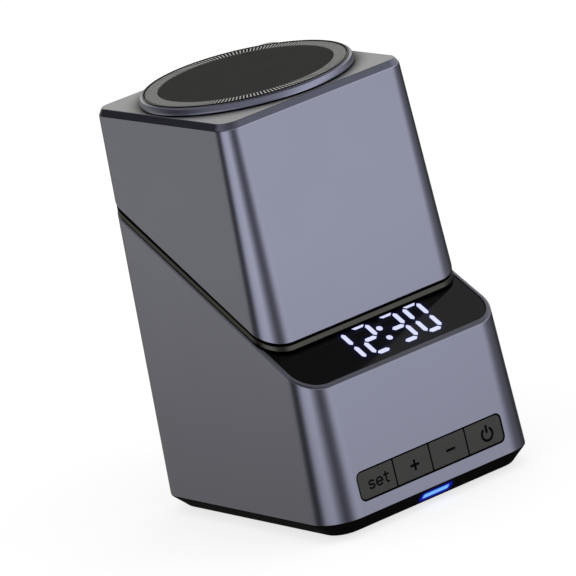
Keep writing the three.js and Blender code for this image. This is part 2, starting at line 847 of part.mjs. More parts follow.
const swivelHalfWidth = headTower.section(swivelPoint.z - metalEdge, 0).halfWidth;
const swivelHalfLength = headLowFront.distanceTo(headLowBack) / 2;
const collarScrewPlaces = mirroredFour(
  swivelHalfWidth - collarScrewSideInset,
  swivelHalfLength - collarScrewEndInset,
);
const collarScrewSeat = collarLift + collarSeatDepth - fitGap;
const collarHoleRadius = collarScrewRadius + fitGap;
const headPostBottom = collarFloor + fitGap;
const headPostTop = headPostBottom + headPostHeight;
const puckHoleRadius = puckNeckRadius + fitGap;

function makeHeadShell() {
  const cup = skin([
    headTower.ring(shellWall, levelPlane(topFace - topWall)),
    headTower.ring(shellWall, slantPlane(splitGap)),
    headTower.ring(0, slantPlane(splitGap)),
    headTower.ring(0, levelPlane(headEdge)),
    headTower.ring(topBevelRun, levelPlane(topFace)),
  ], false);
  const posts = [];
  const holes = [];
  collarScrewPlaces.forEach(([x, y]) => {
    const place = new THREE.Vector3(x, y, headPostTop).applyMatrix4(swivelFrame.matrix);
    const wallX = headTower.section(place.z - metalEdge, shellWall / 2).halfWidth;
    const pieces = screwPost(x, y, headPostBottom, spigotTop + fitGap, headPostTop, wallX);
    posts.push(...pieces.map((piece) => placed(piece, swivelFrame)));
    const holeTop = collarScrewSeat + collarScrewLength + fitGap;
    const hole = disc(collarHoleRadius, collarLift, holeTop, smallSegments).translate(x, y, 0);
    holes.push(placed(hole, swivelFrame));
  });
  const puckHole = placed(disc(puckHoleRadius, -cutReach, cutReach, puckSegments), puckFrame);
  return cut(join(cup, posts), [...holes, puckHole]);
}

addPiece(head, 'head_shell', makeHeadShell(), 'metal');

// Swivel pieces that turn with the head

const headSwivel = groupIn(head, swivelFrame);

function makeCollar() {
  const spigotInset = shellWall + fitGap;
  const cup = skin([
    headTower.ring(collarInset, slantPlane(collarLift)),
    headTower.ring(collarInset, slantPlane(collarTop)),
    headTower.ring(spigotInset, slantPlane(collarTop)),
    headTower.ring(spigotInset, slantPlane(spigotTop)),
    headTower.ring(spigotInset + spigotWall, slantPlane(spigotTop)),
    headTower.ring(spigotInset + spigotWall, slantPlane(collarFloor)),
  ], false);
  const bore = placed(disc(shaftRadius + fitGap, -cutReach, cutReach, roundSegments), swivelFrame);
  const holes = collarScrewPlaces.flatMap(([x, y]) => {
    const hole = disc(collarHoleRadius, -cutReach, cutReach, smallSegments);
    const seat = disc(collarScrewHeadRadius + fitGap, -cutReach, collarLift + collarSeatDepth, smallSegments);
    return [hole, seat].map((cutter) => placed(cutter.translate(x, y, 0), swivelFrame));
  });
  return cut(cup, [bore, ...holes]);
}

addPiece(head, 'swivel_collar', makeCollar(), 'band');

collarScrewPlaces.forEach(([x, y], i) => {
  const shape = screw(collarScrewHeadRadius, collarScrewHeadHeight, collarScrewRadius, collarScrewLength);
  addPiece(headSwivel, `collar_screw_${i + 1}`, shape, 'steel').position.set(x, y, collarScrewSeat);
});

const stopScrewPlaces = circlePlaces(stopScrewCount, (shaftRadius + shaftBore) / 2);
const stopScrewSeat = stopBottom - fitGap;
const stopHoleRadius = stopScrewRadius + fitGap;

function makeShaft() {
  const start = [shaftBore, shaftBottom];
  const body = turned([
    start,
    [shaftRadius, shaftBottom],
    [shaftRadius, shaftFlangeBottom],
    [shaftFlangeRadius, shaftFlangeBottom],
    [shaftFlangeRadius, shaftFlangeTop],
    [shaftBore, shaftFlangeTop],
    start,
  ], roundSegments);
  const holeTop = stopScrewSeat + stopScrewLength + fitGap;
  const holes = stopScrewPlaces.map(
    ([x, y]) => disc(stopHoleRadius, shaftBottom - cutReach, holeTop, smallSegments).translate(x, y, 0),
  );
  return cut(body, holes);
}

addPiece(headSwivel, 'swivel_shaft', makeShaft(), 'steel');

function makeStopPlate() {
  const plate = washer(shaftBore, stopPlateRadius, stopBottom, stopTop, roundSegments);
  const overlap = stopPlateRadius - shaftBore;
  const fingerShape = sectorShape(
    stopPlateRadius - overlap / 2,
    stopOuter,
    fingerMiddle - stopWidth / 2,
    fingerMiddle + stopWidth / 2,
  );
  const holes = stopScrewPlaces.map(
    ([x, y]) => disc(stopHoleRadius, stopBottom - cutReach, stopTop + cutReach, smallSegments).translate(x, y, 0),
  );
  return cut(join(plate, [prism(fingerShape, stopBottom, stopTop)]), holes);
}

addPiece(headSwivel, 'stop_plate', makeStopPlate(), 'steel');

stopScrewPlaces.forEach(([x, y], i) => {
  const shape = screw(stopScrewHeadRadius, stopScrewHeadHeight, stopScrewRadius, stopScrewLength);
  addPiece(headSwivel, `stop_screw_${i + 1}`, shape, 'steel').position.set(x, y, stopScrewSeat);
});

// Charging puck, with heights counted from the head's top face

const puckGroup = groupIn(head, puckFrame);
const puckShoulderRadius = puckRadius - puckShoulderStep;
const puckSeatRadius = puckRadius - puckRimWidth;
const padRadius = puckSeatRadius - ribbedWidth - 2 * seamGap;
const puckSeat = puckHeight - puckSeatDepth;
const puckPocketTop = puckSeat - puckMembrane;
const puckPocketRadius = puckNeckRadius - puckNeckWall;
const clampTop = -topWall - fitGap;
const clampBottom = clampTop - clampThickness;
const neckBottom = clampTop + fitGap / 2;
const puckScrewPlaces = circlePlaces(puckScrewCount, puckNeckRadius - puckNeckWall / 2);
const puckScrewSeat = clampBottom - fitGap;
const puckScrewTop = puckScrewSeat + puckScrewLength;
const puckScrewHole = puckScrewRadius + fitGap;
const coilTop = puckPocketTop - fitGap;
const coilBottom = coilTop - coilThickness;
const ferriteTop = coilBottom - fitGap;
const ferriteBottom = ferriteTop - ferriteThickness;
const magnetOuter = puckPocketRadius - fitGap;
const magnetInner = magnetOuter - magnetWidth;
const coilRadius = magnetInner - fitGap;

function makePuckHousing() {
  const body = turned([
    [0, puckPocketTop],
    [puckPocketRadius, puckPocketTop],
    [puckPocketRadius, neckBottom],
    [puckNeckRadius, neckBottom],
    [puckNeckRadius, puckShoulderGap],
    [puckShoulderRadius, puckShoulderGap],
    [puckShoulderRadius, puckLift],
    [puckRadius - puckEdge, puckLift],
    [puckRadius, puckLift + puckEdge],
    [puckRadius, puckHeight - puckEdge],
    [puckRadius - puckEdge, puckHeight],
    [puckSeatRadius, puckHeight],
    [puckSeatRadius, puckSeat],
    [0, puckSeat],
  ], puckSegments);
  const holes = puckScrewPlaces.map(
    ([x, y]) => disc(puckScrewHole, -cutReach, puckScrewTop + fitGap, smallSegments).translate(x, y, 0),
  );
  return cut(body, holes);
}

addPiece(puckGroup, 'puck_housing', makePuckHousing(), 'metal');

const padTop = puckHeight - padDrop;
const pad = turned([
  [0, puckSeat + seamGap],
  [padRadius, puckSeat + seamGap],
  [padRadius, padTop - padEdge],
  [padRadius - padEdge, padTop],
  [0, padTop],
], puckSegments);
addPiece(puckGroup, 'charging_pad', pad, 'pad');

const ribbedRing = washer(
  padRadius + seamGap,
  puckSeatRadius - seamGap,
  puckSeat + seamGap,
  puckHeight - ribbedDrop,
  puckSegments,
);
addPiece(puckGroup, 'ribbed_ring', ribbedRing, 'ribbed');

const magnet = washer(magnetInner, magnetOuter, ferriteBottom, coilTop, roundSegments);
addPiece(puckGroup, 'magnet_ring', magnet, 'steel');
const coil = washer(coilBore, coilRadius, coilBottom, coilTop, roundSegments);
addPiece(puckGroup, 'charging_coil', coil, 'copper');
addPiece(puckGroup, 'ferrite_sheet', disc(coilRadius, ferriteBottom, ferriteTop, roundSegments), 'ferrite');

const chargerLegBottom = clampBottom - chargerLegLength;
const chargerBoardTop = chargerLegBottom - fitGap;
const chargerBoardBottom = chargerBoardTop - chargerBoardThickness;
const chargerBoardRadius = puckNeckRadius - chargerBoardInset;
const chargerLegPlaces = circlePlaces(puckScrewCount, chargerLegInset - chargerBoardRadius);

function makeClamp() {
  const plate = washer(clampBore, puckNeckRadius + clampLip, clampBottom, clampTop, roundSegments);
  const legTop = clampBottom + clampThickness / 2;
  const legs = chargerLegPlaces.map(
    ([x, y]) => disc(chargerLegRadius, chargerLegBottom, legTop, smallSegments).translate(x, y, 0),
  );
  const holes = puckScrewPlaces.map(
    ([x, y]) => disc(puckScrewHole, clampBottom - cutReach, cutReach, smallSegments).translate(x, y, 0),
  );
  return cut(join(plate, legs), holes);
}

addPiece(puckGroup, 'puck_clamp', makeClamp(), 'blackPlastic');

puckScrewPlaces.forEach(([x, y], i) => {
  const shape = screw(puckScrewHeadRadius, puckScrewHeadHeight, puckScrewRadius, puckScrewLength);
  addPiece(puckGroup, `puck_screw_${i + 1}`, shape, 'steel').position.set(x, y, puckScrewSeat);
});

const chargerBoard = disc(chargerBoardRadius, chargerBoardBottom, chargerBoardTop, roundSegments);
addPiece(puckGroup, 'charger_board', chargerBoard, 'board');

// Leads: the two swivel leads meet on the swivel axis inside the hollow shaft's upper end

function onAxis(level) {
  return new THREE.Vector3(0, 0, level).applyMatrix4(swivelFrame.matrix);
}

function onDisplay(x, level) {
  return new THREE.Vector3(x, displayY, level).applyMatrix4(swivelFrame.matrix);
}

const boardSurface = boardTop + fitGap;
const leadX = boardWidth / 2 - leadInset;
const axisEntry = stopBottom - leadEntry;

const baseLeadRoute = [
  new THREE.Vector3(-leadX / 2, boardY, boardSurface),
  new THREE.Vector3(-leadX / 2, boardY, boardSurface + leadRise),
  onAxis(axisEntry),
  onAxis(stopBottom),
  onAxis(leadMeeting - fitGap),
];
addPiece(base, 'base_lead', lead(baseLeadRoute), 'lead');

const displayStart = onDisplay(leadX, displayBoardBottom - fitGap);
const boardEdge = boardFront + standoffInset;
const displayLeadRoute = [
  displayStart,
  displayStart.clone().addScaledVector(slantNormal, -leadRise),
  new THREE.Vector3(leadX, boardEdge - leadRise, boardSurface + leadRise),
  new THREE.Vector3(leadX, boardEdge, boardSurface + leadRise / 2),
  new THREE.Vector3(leadX, boardEdge, boardSurface),
];
addPiece(base, 'display_lead', lead(displayLeadRoute), 'lead');

const keyBack = new THREE.Vector3(-leadX, 0, keyBoardTop - keyBoardThickness - fitGap);
keyBack.applyMatrix4(keyFrame.matrix);
const keyLeadRoute = [
  keyBack,
  keyBack.clone().setY(keyBack.y + leadRise / 2),
  new THREE.Vector3(-leadX, boardEdge - leadRise, boardSurface + leadRise / 2),
  new THREE.Vector3(-leadX, boardEdge, boardSurface + leadRise / 2),
  new THREE.Vector3(-leadX, boardEdge, boardSurface),
];
addPiece(base, 'key_lead', lead(keyLeadRoute), 'lead');

const chargerPlace = new THREE.Vector3(0, 0, chargerBoardBottom - fitGap).applyMatrix4(puckFrame.matrix);
const headLeadRoute = [
  onAxis(leadMeeting),
  onAxis(leadMeeting + leadRise / 2),
  chargerPlace.clone().setZ(chargerPlace.z - leadRise / 2),
  chargerPlace,
];
addPiece(head, 'head_lead', lead(headLeadRoute), 'lead');

export default clock;
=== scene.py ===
"""Looks of a charging stand clock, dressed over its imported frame.

Every shape is a grid of points worked out with numpy, in metres and in the frame's own axes:
+X to the right, the front towards -Y, +Z up and the origin on the ground below the base.
"""

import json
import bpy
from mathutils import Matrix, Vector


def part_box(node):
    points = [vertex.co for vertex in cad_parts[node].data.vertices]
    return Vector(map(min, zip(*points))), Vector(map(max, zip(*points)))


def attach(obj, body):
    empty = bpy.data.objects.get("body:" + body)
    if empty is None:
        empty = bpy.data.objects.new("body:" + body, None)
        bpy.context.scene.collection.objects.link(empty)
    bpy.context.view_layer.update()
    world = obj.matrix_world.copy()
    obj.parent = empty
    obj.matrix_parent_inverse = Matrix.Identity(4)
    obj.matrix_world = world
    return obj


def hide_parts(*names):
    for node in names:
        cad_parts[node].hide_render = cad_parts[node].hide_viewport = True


bl_info = {
    "name": "Charging stand clock",
    "version": (1, 0, 0),
    "blender": (4, 5, 0),
    "location": "3D View > Sidebar > Clock",
    "description": "Shells, keys, digits, charging puck and finishes of a charging stand clock",
    "category": "Object",
}

import bmesh
import bpy
import numpy as np
from bpy.props import FloatProperty, FloatVectorProperty, IntProperty, PointerProperty
from mathutils import Color, Matrix

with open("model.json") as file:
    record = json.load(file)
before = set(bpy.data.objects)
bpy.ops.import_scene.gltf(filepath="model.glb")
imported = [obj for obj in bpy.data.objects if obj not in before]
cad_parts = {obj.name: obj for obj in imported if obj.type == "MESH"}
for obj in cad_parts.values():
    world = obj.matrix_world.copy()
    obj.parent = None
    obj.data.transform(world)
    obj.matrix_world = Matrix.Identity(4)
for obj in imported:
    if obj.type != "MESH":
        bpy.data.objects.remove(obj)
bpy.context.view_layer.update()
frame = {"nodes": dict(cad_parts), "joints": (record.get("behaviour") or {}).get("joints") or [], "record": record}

MM = 0.001
RIGHT = np.array([1.0, 0.0, 0.0])
BACK = np.array([0.0, 1.0, 0.0])
UP = np.array([0.0, 0.0, 1.0])
CORNER_SIGNS = np.array([[1, 1], [-1, 1], [-1, -1], [1, -1]])

# Numbers of two of the tower's flats: each flat has the number of the corner before it
BACK_FLAT = 0
FRONT_FLAT = 2

swivel = next(joint for joint in frame["joints"] if joint["name"] == "head_swivel")
SWIVEL_POINT = np.array(swivel["pos_m"])
SLANT_NORMAL = np.array(swivel["axis"])
SLANT_UP = np.cross(SLANT_NORMAL, RIGHT)

# How finely the shapes are drawn: bends, the tower's corners and flats, full turns and raised lines
ROUND_STEPS = 5
CORNER_STEPS = 20
FLAT_COLUMNS = 5
TURN_STEPS = 192
SMALL_TURN_STEPS = 48
SECTION_STEPS = 12

# Columns close to a flat's ends, as a share of the flat, that keep the corners' shading off it
SUPPORT_COLUMN = 0.004
EVEN_COLUMNS = (np.arange(FLAT_COLUMNS) + 0.5) / FLAT_COLUMNS
PLAIN_FLAT = np.concatenate([[SUPPORT_COLUMN], EVEN_COLUMNS, [1 - SUPPORT_COLUMN]])

# Points nearer than this are one point, and edges bent more than this look sharp
WELD = 1e-7
SHARP = np.radians(42.0)

SCREEN_WHITE = 255.0
BLACK = (0.0, 0.0, 0.0)
WHITE = (1.0, 1.0, 1.0)


def length(label, note, millimetres):
    """Length property with its default in millimetres."""
    return FloatProperty(
        name=label, description=note, default=millimetres * MM, precision=5, unit="LENGTH"
    )


def angle(label, note, degrees):
    """Angle property with its default in degrees."""
    return FloatProperty(name=label, description=note, default=np.radians(degrees), subtype="ANGLE")


def colour(label, note, red, green, blue):
    """Colour property with its default as screen values from 0 to 255."""
    screen = Color((red / SCREEN_WHITE, green / SCREEN_WHITE, blue / SCREEN_WHITE))
    light = tuple(screen.from_srgb_to_scene_linear())
    return FloatVectorProperty(
        name=label, description=note, default=light, size=3, min=0.0, max=1.0, subtype="COLOR"
    )


class ClockTower(bpy.types.PropertyGroup):
    """Sizes of the tapered metal tower and its slanted joint."""

    base_width: length("Base width", "Width at the metal's lower edge", 69.6)
    base_depth: length("Base depth", "Depth at the metal's lower edge", 82.9)
    metal_edge: length("Metal edge", "Height of the metal's lower edge above the ground", 5.05)
    metal_height: length("Metal height", "From the metal's lower edge to the head's upper edge", 106.9)
    side_draft: angle("Side taper", "Lean of the two sides", 2.42)
    back_draft: angle("Back taper", "Lean of the back", 2.54)
    front_draft: angle("Front taper", "Lean of the front faces", 1.5)
    foot_corner: length("Lower corner", "Corner radius at the metal's lower edge", 9.7)
    top_corner: length("Upper corner", "Corner radius at the head's upper edge", 4.5)
    front_round: length("Front round", "How much rounder the front corners are at that edge", 0.7)
    least_corner: length("Least corner", "Smallest corner radius inside the shells", 0.8)
    head_setback: length("Head setback", "How far the head's front stands behind the base's front", 13.0)
    wall: length("Wall", "Thickness of the metal shells", 2.2)
    edge_round: length("Edge round", "Rounding of the metal's edges", 0.22)
    rim_bevel: length("Rim bevel", "Bevel round the base's slanted rim", 0.25)
    rim_fall: length("Rim fall", "How far the rim falls towards the outside", 0.15)
    rim_width: length("Rim width", "From the outside to the deck's opening", 1.1)
    split_gap: length("Split gap", "From the base's rim to the head's lower edge", 2.65)
    top_wall: length("Top wall", "Thickness of the head's top", 2.4)
    bevel_run: length("Bevel run", "Width of the bevel round the head's top", 1.05)
    bevel_rise: length("Bevel rise", "Height of the bevel round the head's top", 1.85)


class ClockTray(bpy.types.PropertyGroup):
    """Sizes of the black tray below the base, its feet, screws and light."""

    ground_gap: length("Ground gap", "Height of the tray's underside above the ground", 0.8)
    seam: length("Seam", "Gap between the tray and the metal", 0.15)
    skirt_inset: length("Skirt inset", "How far the skirt draws in towards the ground", 4.33)
    edge_round: length("Edge round", "Rounding of the tray's edges", 0.3)
    floor: length("Floor", "Thickness of the tray's floor", 2.0)
    lip_inset: length("Lip inset", "From the skirt to the lip inside the metal", 2.5)
    lip_wall: length("Lip wall", "Thickness of that lip", 1.5)
    lip_height: length("Lip height", "Height of that lip above the metal's edge", 1.2)
    foot_sink: length("Foot sink", "Depth of the feet's seats", 0.8)
    seat_gap: length("Seat gap", "Gap round the feet and the screw heads", 0.3)
    boss_height: length("Boss height", "Height of the screw bosses above the underside", 3.8)
    light_up: length("Light place", "Middle of the light bar, measured up the skirt", 3.05)
    light_shift: length("Light shift", "How far the light bar stands right of the tray's middle", 0.3)
    light_width: length("Light width", "Length of the light bar", 9.2)
    light_height: length("Light height", "Height of the light bar", 2.6)
    light_corner: length("Light corner", "Corner radius of the light bar", 0.8)
    glow_reach: length("Glow reach", "How far the light spreads over the skirt", 1.0)


class ClockDisplay(bpy.types.PropertyGroup):
    """Sizes of the smoked deck and the time below it."""

    deck_inset: length("Deck inset", "From the tower's outline to the deck's edge", 1.25)
    deck_recess: length("Deck recess", "Depth of the deck below the rim", 0.3)
    deck_thickness: length("Deck thickness", "Thickness of the smoked panel", 2.0)
    deck_hole: length("Deck hole", "Radius of the hole for the swivel", 11.0)
    edge_round: length("Edge round", "Rounding of the deck's edge", 0.15)
    from_rim: length("From rim", "From the rim's front to the middle of the digits", 10.05)
    shift: length("Shift", "How far the time stands right of the deck's middle", 0.58)
    digit_width: length("Digit width", "Width of one digit", 6.1)
    digit_height: length("Digit height", "Height of one digit", 12.7)
    digit_pitch: length("Digit pitch", "From one digit of a pair to the other", 8.05)
    pair_pitch: length("Pair pitch", "Between the two middle digits, across the colon", 9.3)
    segment_width: length("Segment width", "Width of a lit segment", 1.4)
    segment_gap: length("Segment gap", "Gap between segments", 0.75)
    colon_pitch: length("Colon pitch", "Between the two dots", 4.35)
    colon_radius: length("Colon radius", "Radius of a dot", 0.9)
    glow_reach: length("Glow reach", "How far the light spreads round a segment", 0.5)


class ClockKeys(bpy.types.PropertyGroup):
    """Sizes of the four keys in the front face."""

    row_height: length("Row height", "Middle of the keys above the metal's lower edge", 7.9)
    strip_width: length("Strip width", "Width of the four keys together", 48.4)
    cap_height: length("Cap height", "Height of a key", 7.4)
    gap: length("Gap", "Gap between keys and round them", 0.45)
    outer_corner: length("Outer corner", "Corner radius at the strip's ends", 1.4)
    inner_corner: length("Inner corner", "Corner radius between keys", 0.2)
    recess: length("Recess", "Depth of the keys below the front face", 0.1)
    depth: length("Depth", "Length of a key behind the front face", 3.7)
    edge_round: length("Edge round", "Rounding of a key's edge", 0.14)
    mark_width: length("Mark width", "Line width of the marks", 0.72)
    letter_width: length("Letter width", "Line width of the letters", 0.5)
    mark_height: length("Mark height", "How far the marks stand out of the keys", 0.03)


class ClockPuck(bpy.types.PropertyGroup):
    """Sizes of the charging puck."""

    edge_round: length("Edge round", "Rounding of the puck's rim", 0.3)
    lift: length("Lift", "Gap below the puck's rim", 0.15)
    shoulder_gap: length("Shoulder gap", "Gap below the shoulder", 0.06)
    shoulder_step: length("Shoulder step", "From the rim to the shoulder under it", 0.3)
    neck_step: length("Neck step", "From the rim to the neck in the head", 4.7)
    neck_wall: length("Neck wall", "Thickness of the neck", 3.1)
    rim_width: length("Rim width", "Width of the metal rim", 1.45)
    wall_lean: length("Wall lean", "How far the rim's wall leans in towards its top", 0.38)
    # The black of this step is painted shade
    step_width: length("Step width", "Width of the black step inside the rim", 0.45)
    step_rise: length("Step rise", "How far that step stands above the rim", 0.45)
    seat_depth: length("Seat depth", "Depth of the pad's seat", 1.2)
    membrane: length("Membrane", "Thickness of the floor under the pad", 0.8)
    rib_height: length("Rib height", "Height of the radial ribs", 0.3)
    ribs: IntProperty(name="Ribs", description="Number of radial ribs round the pad", default=170, min=12)


class ClockColours(bpy.types.PropertyGroup):
    """Colours of the finishes."""

    metal: colour("Metal", "Satin anodised shells", 146, 148, 168)
    # The metal's edge colour is a painted highlight along the shells' rounded edges
    metal_edge: colour("Metal edge", "Bright edges of the shells", 205, 207, 220)
    blasted: colour("Blasted", "Matt top face of the head", 178, 178, 180)
    puck: colour("Puck", "Metal of the charging puck", 158, 160, 184)
    black: colour("Black plastic", "Tray and inner mouldings", 10, 10, 10)
    deck: colour("Deck", "Smoked panel", 17, 17, 17)
    band: colour("Band", "Collar between base and head", 79, 78, 74)
    key: colour("Key", "Key caps", 67, 67, 66)
    mark: colour("Mark", "Marks on the keys", 4, 4, 4)
    pad: colour("Pad", "Soft charging pad", 48, 48, 48)
    ribbed: colour("Ribbed ring", "Ribs of the ring round the pad", 124, 124, 122)
    rubber: colour("Rubber", "Feet", 30, 30, 30)
    digit: colour("Digits", "Light of the time", 212, 216, 250)
    glow: colour("Glow", "Light round the digits", 10, 10, 46)
    light_core: colour("Light", "Middle of the light bar", 120, 188, 255)
    light_edge: colour("Light edge", "Edge of the light bar", 18, 24, 160)
    steel: colour("Steel", "Plated screws, shaft and socket", 176, 178, 181)
    board: colour("Board", "Circuit boards", 29, 90, 58)
    copper: colour("Copper", "Coil and contacts", 196, 124, 62)
    magnet: colour("Magnet", "Magnet ring and ferrite", 66, 66, 68)
    lead: colour("Lead", "Sleeves of the leads", 36, 36, 36)
    nylon: colour("Nylon", "Bush and glide ring", 218, 215, 205)


class ClockStage(bpy.types.PropertyGroup):
    """Camera and light."""

    azimuth: angle("Azimuth", "Camera's turn round the clock", -32.611)
    elevation: angle("Elevation", "Camera's height", 15.134)
    roll: angle("Roll", "Camera's roll", -12.878)
    distance: length("Distance", "From the camera to the clock", 1860.0)
    focal: FloatProperty(name="Focal length", description="Lens in millimetres", default=435.3)
    aim_right: length("Aim right", "How far the picture's middle lies right of the clock's", -4.87)
    aim_up: length("Aim up", "How far the picture's middle lies above the clock's", 0.42)
    aim_height: length("Aim height", "Height of the clock's middle", 55.8)
    fill: FloatProperty(name="Fill", description="Even light from all round", default=0.78, min=0.0)
    key_power: FloatProperty(
        name="Key light", description="Power of the soft box above", default=2.6, unit="POWER"
    )
    floor_size: length("Floor size", "Side of the floor", 6000.0)


# Shapes


def cosine_steps(count):
    """Values from -1 to 1, closer together towards both ends: minus the cosine of even angles."""
    return -np.cos(np.linspace(0.0, np.pi, count + 1))


def unit(way):
    """The same direction with length one."""
    return way / np.linalg.norm(way)


def between(first, last, steps):
    """Rings that go evenly from the first to the last, without those two."""
    share = np.linspace(0.0, 1.0, steps + 1)[1:-1, None, None]
    return first + share * (last - first)


class Face:
    """Flat place on the clock: its middle, its own right and up, and the way it looks out."""

    def __init__(self, middle, right, up):
        self.middle = np.asarray(middle, float)
        self.right = right
        self.up = up
        self.out = np.cross(right, up)

    def at(self, x, y, depth):
        """Points that lie x to the right, y upwards and depth out of the face."""
        x, y, depth = (part[..., None] for part in np.broadcast_arrays(x, y, depth))
        return self.middle + x * self.right + y * self.up + depth * self.out

    def outline(self, square, half_width, half_height, radius, depth):
        """Square border bent onto a rounded rectangle round the middle."""
        return self.at(*on_outline(square, half_width, half_height, radius, radius), depth)

    def circles(self, radius, towards, depths):
        """Circles round the middle, one at each depth, with a point in the direction of each given one."""
        offset = towards - self.middle
        around = np.arctan2(offset @ self.up, offset @ self.right)
        return [self.at(radius * np.cos(around), radius * np.sin(around), depth) for depth in depths]


class Profile:
    """Line through corners, each bent over as a parabola with a support point on either side.

    crest is 1 in the middle of a bend and 0 on the straight parts.
    """

    REACH_SHARE = 0.36
    SUPPORT_SHARE = 0.2

    def __init__(self, corners, radius):
        corners = np.asarray(corners, float)
        turn = np.linspace(0.0, 1.0, ROUND_STEPS + 1)[:, None]
        points = [corners[:1]]
        crest = [np.zeros(1)]
        for before, here, after in zip(corners, corners[1:], corners[2:]):
            start, end = (here + self.step(other - here, radius) for other in (before, after))
            bend = (1 - turn) ** 2 * start + 2 * turn * (1 - turn) * here + turn**2 * end
            support = [start + self.SUPPORT_SHARE * (start - here), end + self.SUPPORT_SHARE * (end - here)]
            points += [support[:1], bend, support[1:]]
            crest += [np.zeros(1), (4 * turn * (1 - turn))[:, 0], np.zeros(1)]
        self.points = np.concatenate(points + [corners[-1:]])
        self.crest = np.concatenate(crest + [np.zeros(1)])

    def step(self, way, radius):
        """Step along a side, as long as the radius but well short of the side's middle."""
        size = np.linalg.norm(way)
        return way / size * min(radius, self.REACH_SHARE * size)


class Columns:
    """Columns round the tower: their corner, their angle on its arc and their share of the flat after it."""

    def __init__(self, flats):
        quarter, turn, share = [], [], []
        for corner, flat in enumerate(flats):
            arc = np.linspace(corner, corner + 1, CORNER_STEPS + 1)
            quarter.append(np.full(len(arc) + len(flat), corner))
            turn += [arc, np.full(len(flat), corner + 1.0)]
            share += [np.zeros(len(arc)), flat]
        self.quarter = np.concatenate(quarter + [np.zeros(1, int)])
        self.angle = np.concatenate(turn + [np.zeros(1)]) * np.pi / 2
        self.share = np.concatenate(share + [np.zeros(1)])

    def span(self, flat, half):
        """First and last column of a block in the middle of a flat, which takes up that share of it."""
        on_flat = (self.quarter == flat) & (self.share > 0)
        found = np.flatnonzero(on_flat & (np.abs(2 * self.share - 1) <= half + WELD))
        return found[0], found[-1]


def flat_with_block(half, steps, outside):
    """Shares along a flat: a block in its middle with cosine steps, and even steps outside it."""
    block = (1 + half * cosine_steps(steps)) / 2
    before = np.linspace(SUPPORT_COLUMN, block[0], outside + 1)[:-1]
    return np.concatenate([before, block, 1 - before[::-1]])


class Tower:
    """Tapered block with rounded corners, whose columns run straight from the foot to the top."""

    def __init__(self, sizes, setback, columns):
        self.sizes = sizes
        self.setback = setback
        self.columns = columns

    def section(self, inset, rise):
        """Half width, front, back and corner radius at a height above the metal's lower edge."""
        sizes = self.sizes
        half = sizes.base_width / 2 - np.tan(sizes.side_draft) * rise - inset
        back = sizes.base_depth / 2 - np.tan(sizes.back_draft) * rise - inset
        front = self.setback - sizes.base_depth / 2 + np.tan(sizes.front_draft) * rise + inset
        low = max(sizes.foot_corner - inset, sizes.least_corner)
        high = max(sizes.top_corner - inset, sizes.least_corner)
        return half, front, back, low + (high - low) * rise / sizes.metal_height

    def outline(self, inset, rise):
        """Rounded rectangle at one height: arcs of the corner radius, joined by straight flats."""
        half, front, back, radius = self.section(inset, rise)
        rounder = self.sizes.front_round * rise / self.sizes.metal_height
        radii = np.where(CORNER_SIGNS[:, 1:] < 0, radius + rounder, radius)
        centres = CORNER_SIGNS * ([half, (back - front) / 2] - radii) + [0.0, (back + front) / 2]
        columns = self.columns
        after = (columns.quarter + 1) % len(centres)
        turn = np.stack([np.cos(columns.angle), np.sin(columns.angle)], axis=-1)
        here = centres[columns.quarter] + radii[columns.quarter] * turn
        there = centres[after] + radii[after] * turn
        plan = here + columns.share[:, None] * (there - here)
        return np.column_stack([plan, np.full(len(plan), self.sizes.metal_edge + rise)])

    def ring(self, inset, point, normal):
        """Where the columns meet a plane."""
        foot = self.outline(inset, 0.0)
        run = self.outline(inset, self.sizes.metal_height) - foot
        share = ((point - foot) @ normal) / (run @ normal)
        return foot + share[:, None] * run

    def level(self, inset, height):
        """Level ring at a height above the ground."""
        return self.ring(inset, UP * height, UP)

    def slanted(self, inset, rise, lean=0.0):
        """Ring along the slanted joint, lower towards the back by a lean."""
        return self.ring(inset, SWIVEL_POINT + SLANT_NORMAL * rise, SLANT_NORMAL + SLANT_UP * lean)


class Patch:
    """Grid of points with the faces that are kept, and the crest and glow of its rows."""

    def __init__(self, rings, crest=None, glow=None):
        self.grid = np.concatenate([ring if np.ndim(ring) == 3 else ring[None] for ring in rings])
        self.keep = np.ones((self.grid.shape[0] - 1, self.grid.shape[1] - 1), bool)
        self.rows = {"crest": crest, "glow": glow}

    def open(self, rows, columns):
        """Takes out a block of faces."""
        low, high = sorted(rows)
        self.keep[low:high, columns[0] : columns[1]] = False

    def faces(self, first):
        """Corners of the kept faces, where the grid's points are numbered from the first."""
        index = first + np.arange(self.grid[..., 0].size).reshape(self.grid.shape[:2])
        corners = [index[:-1, :-1], index[:-1, 1:], index[1:, 1:], index[1:, :-1]]
        return np.stack(corners, axis=-1)[self.keep]

    def values(self, layer):
        """One layer's value at every point: that of its row, or nothing."""
        rows = np.zeros(len(self.grid)) if self.rows[layer] is None else self.rows[layer]
        return np.broadcast_to(rows[:, None], self.grid.shape[:2]).ravel()


def border(grid, rows, columns):
    """Points round a block of a grid, closed, from its first corner along its first row."""
    first, last = rows
    left, right = columns
    step = 1 if last > first else -1
    down = np.arange(first, last, step)
    across = np.arange(left, right)
    here, there = np.full(len(across), first), np.full(len(across), last)
    row = np.concatenate([here, down, there, down[::-1] + step, [first]])
    far, near = np.full(len(down), right), np.full(len(down), left)
    column = np.concatenate([across, far, across[::-1] + 1, near, [left]])
    return grid[row, column]


def square_border(across, up):
    """The same points on a square from -1 to 1, where both sides have cosine steps."""
    a, b = cosine_steps(across), cosine_steps(up)
    x = np.concatenate([a[:-1], np.ones(up), a[:0:-1], -np.ones(up), a[:1]])
    y = np.concatenate([-np.ones(across), b[:-1], np.ones(across), b[:0:-1], b[:1]])
    return x, y


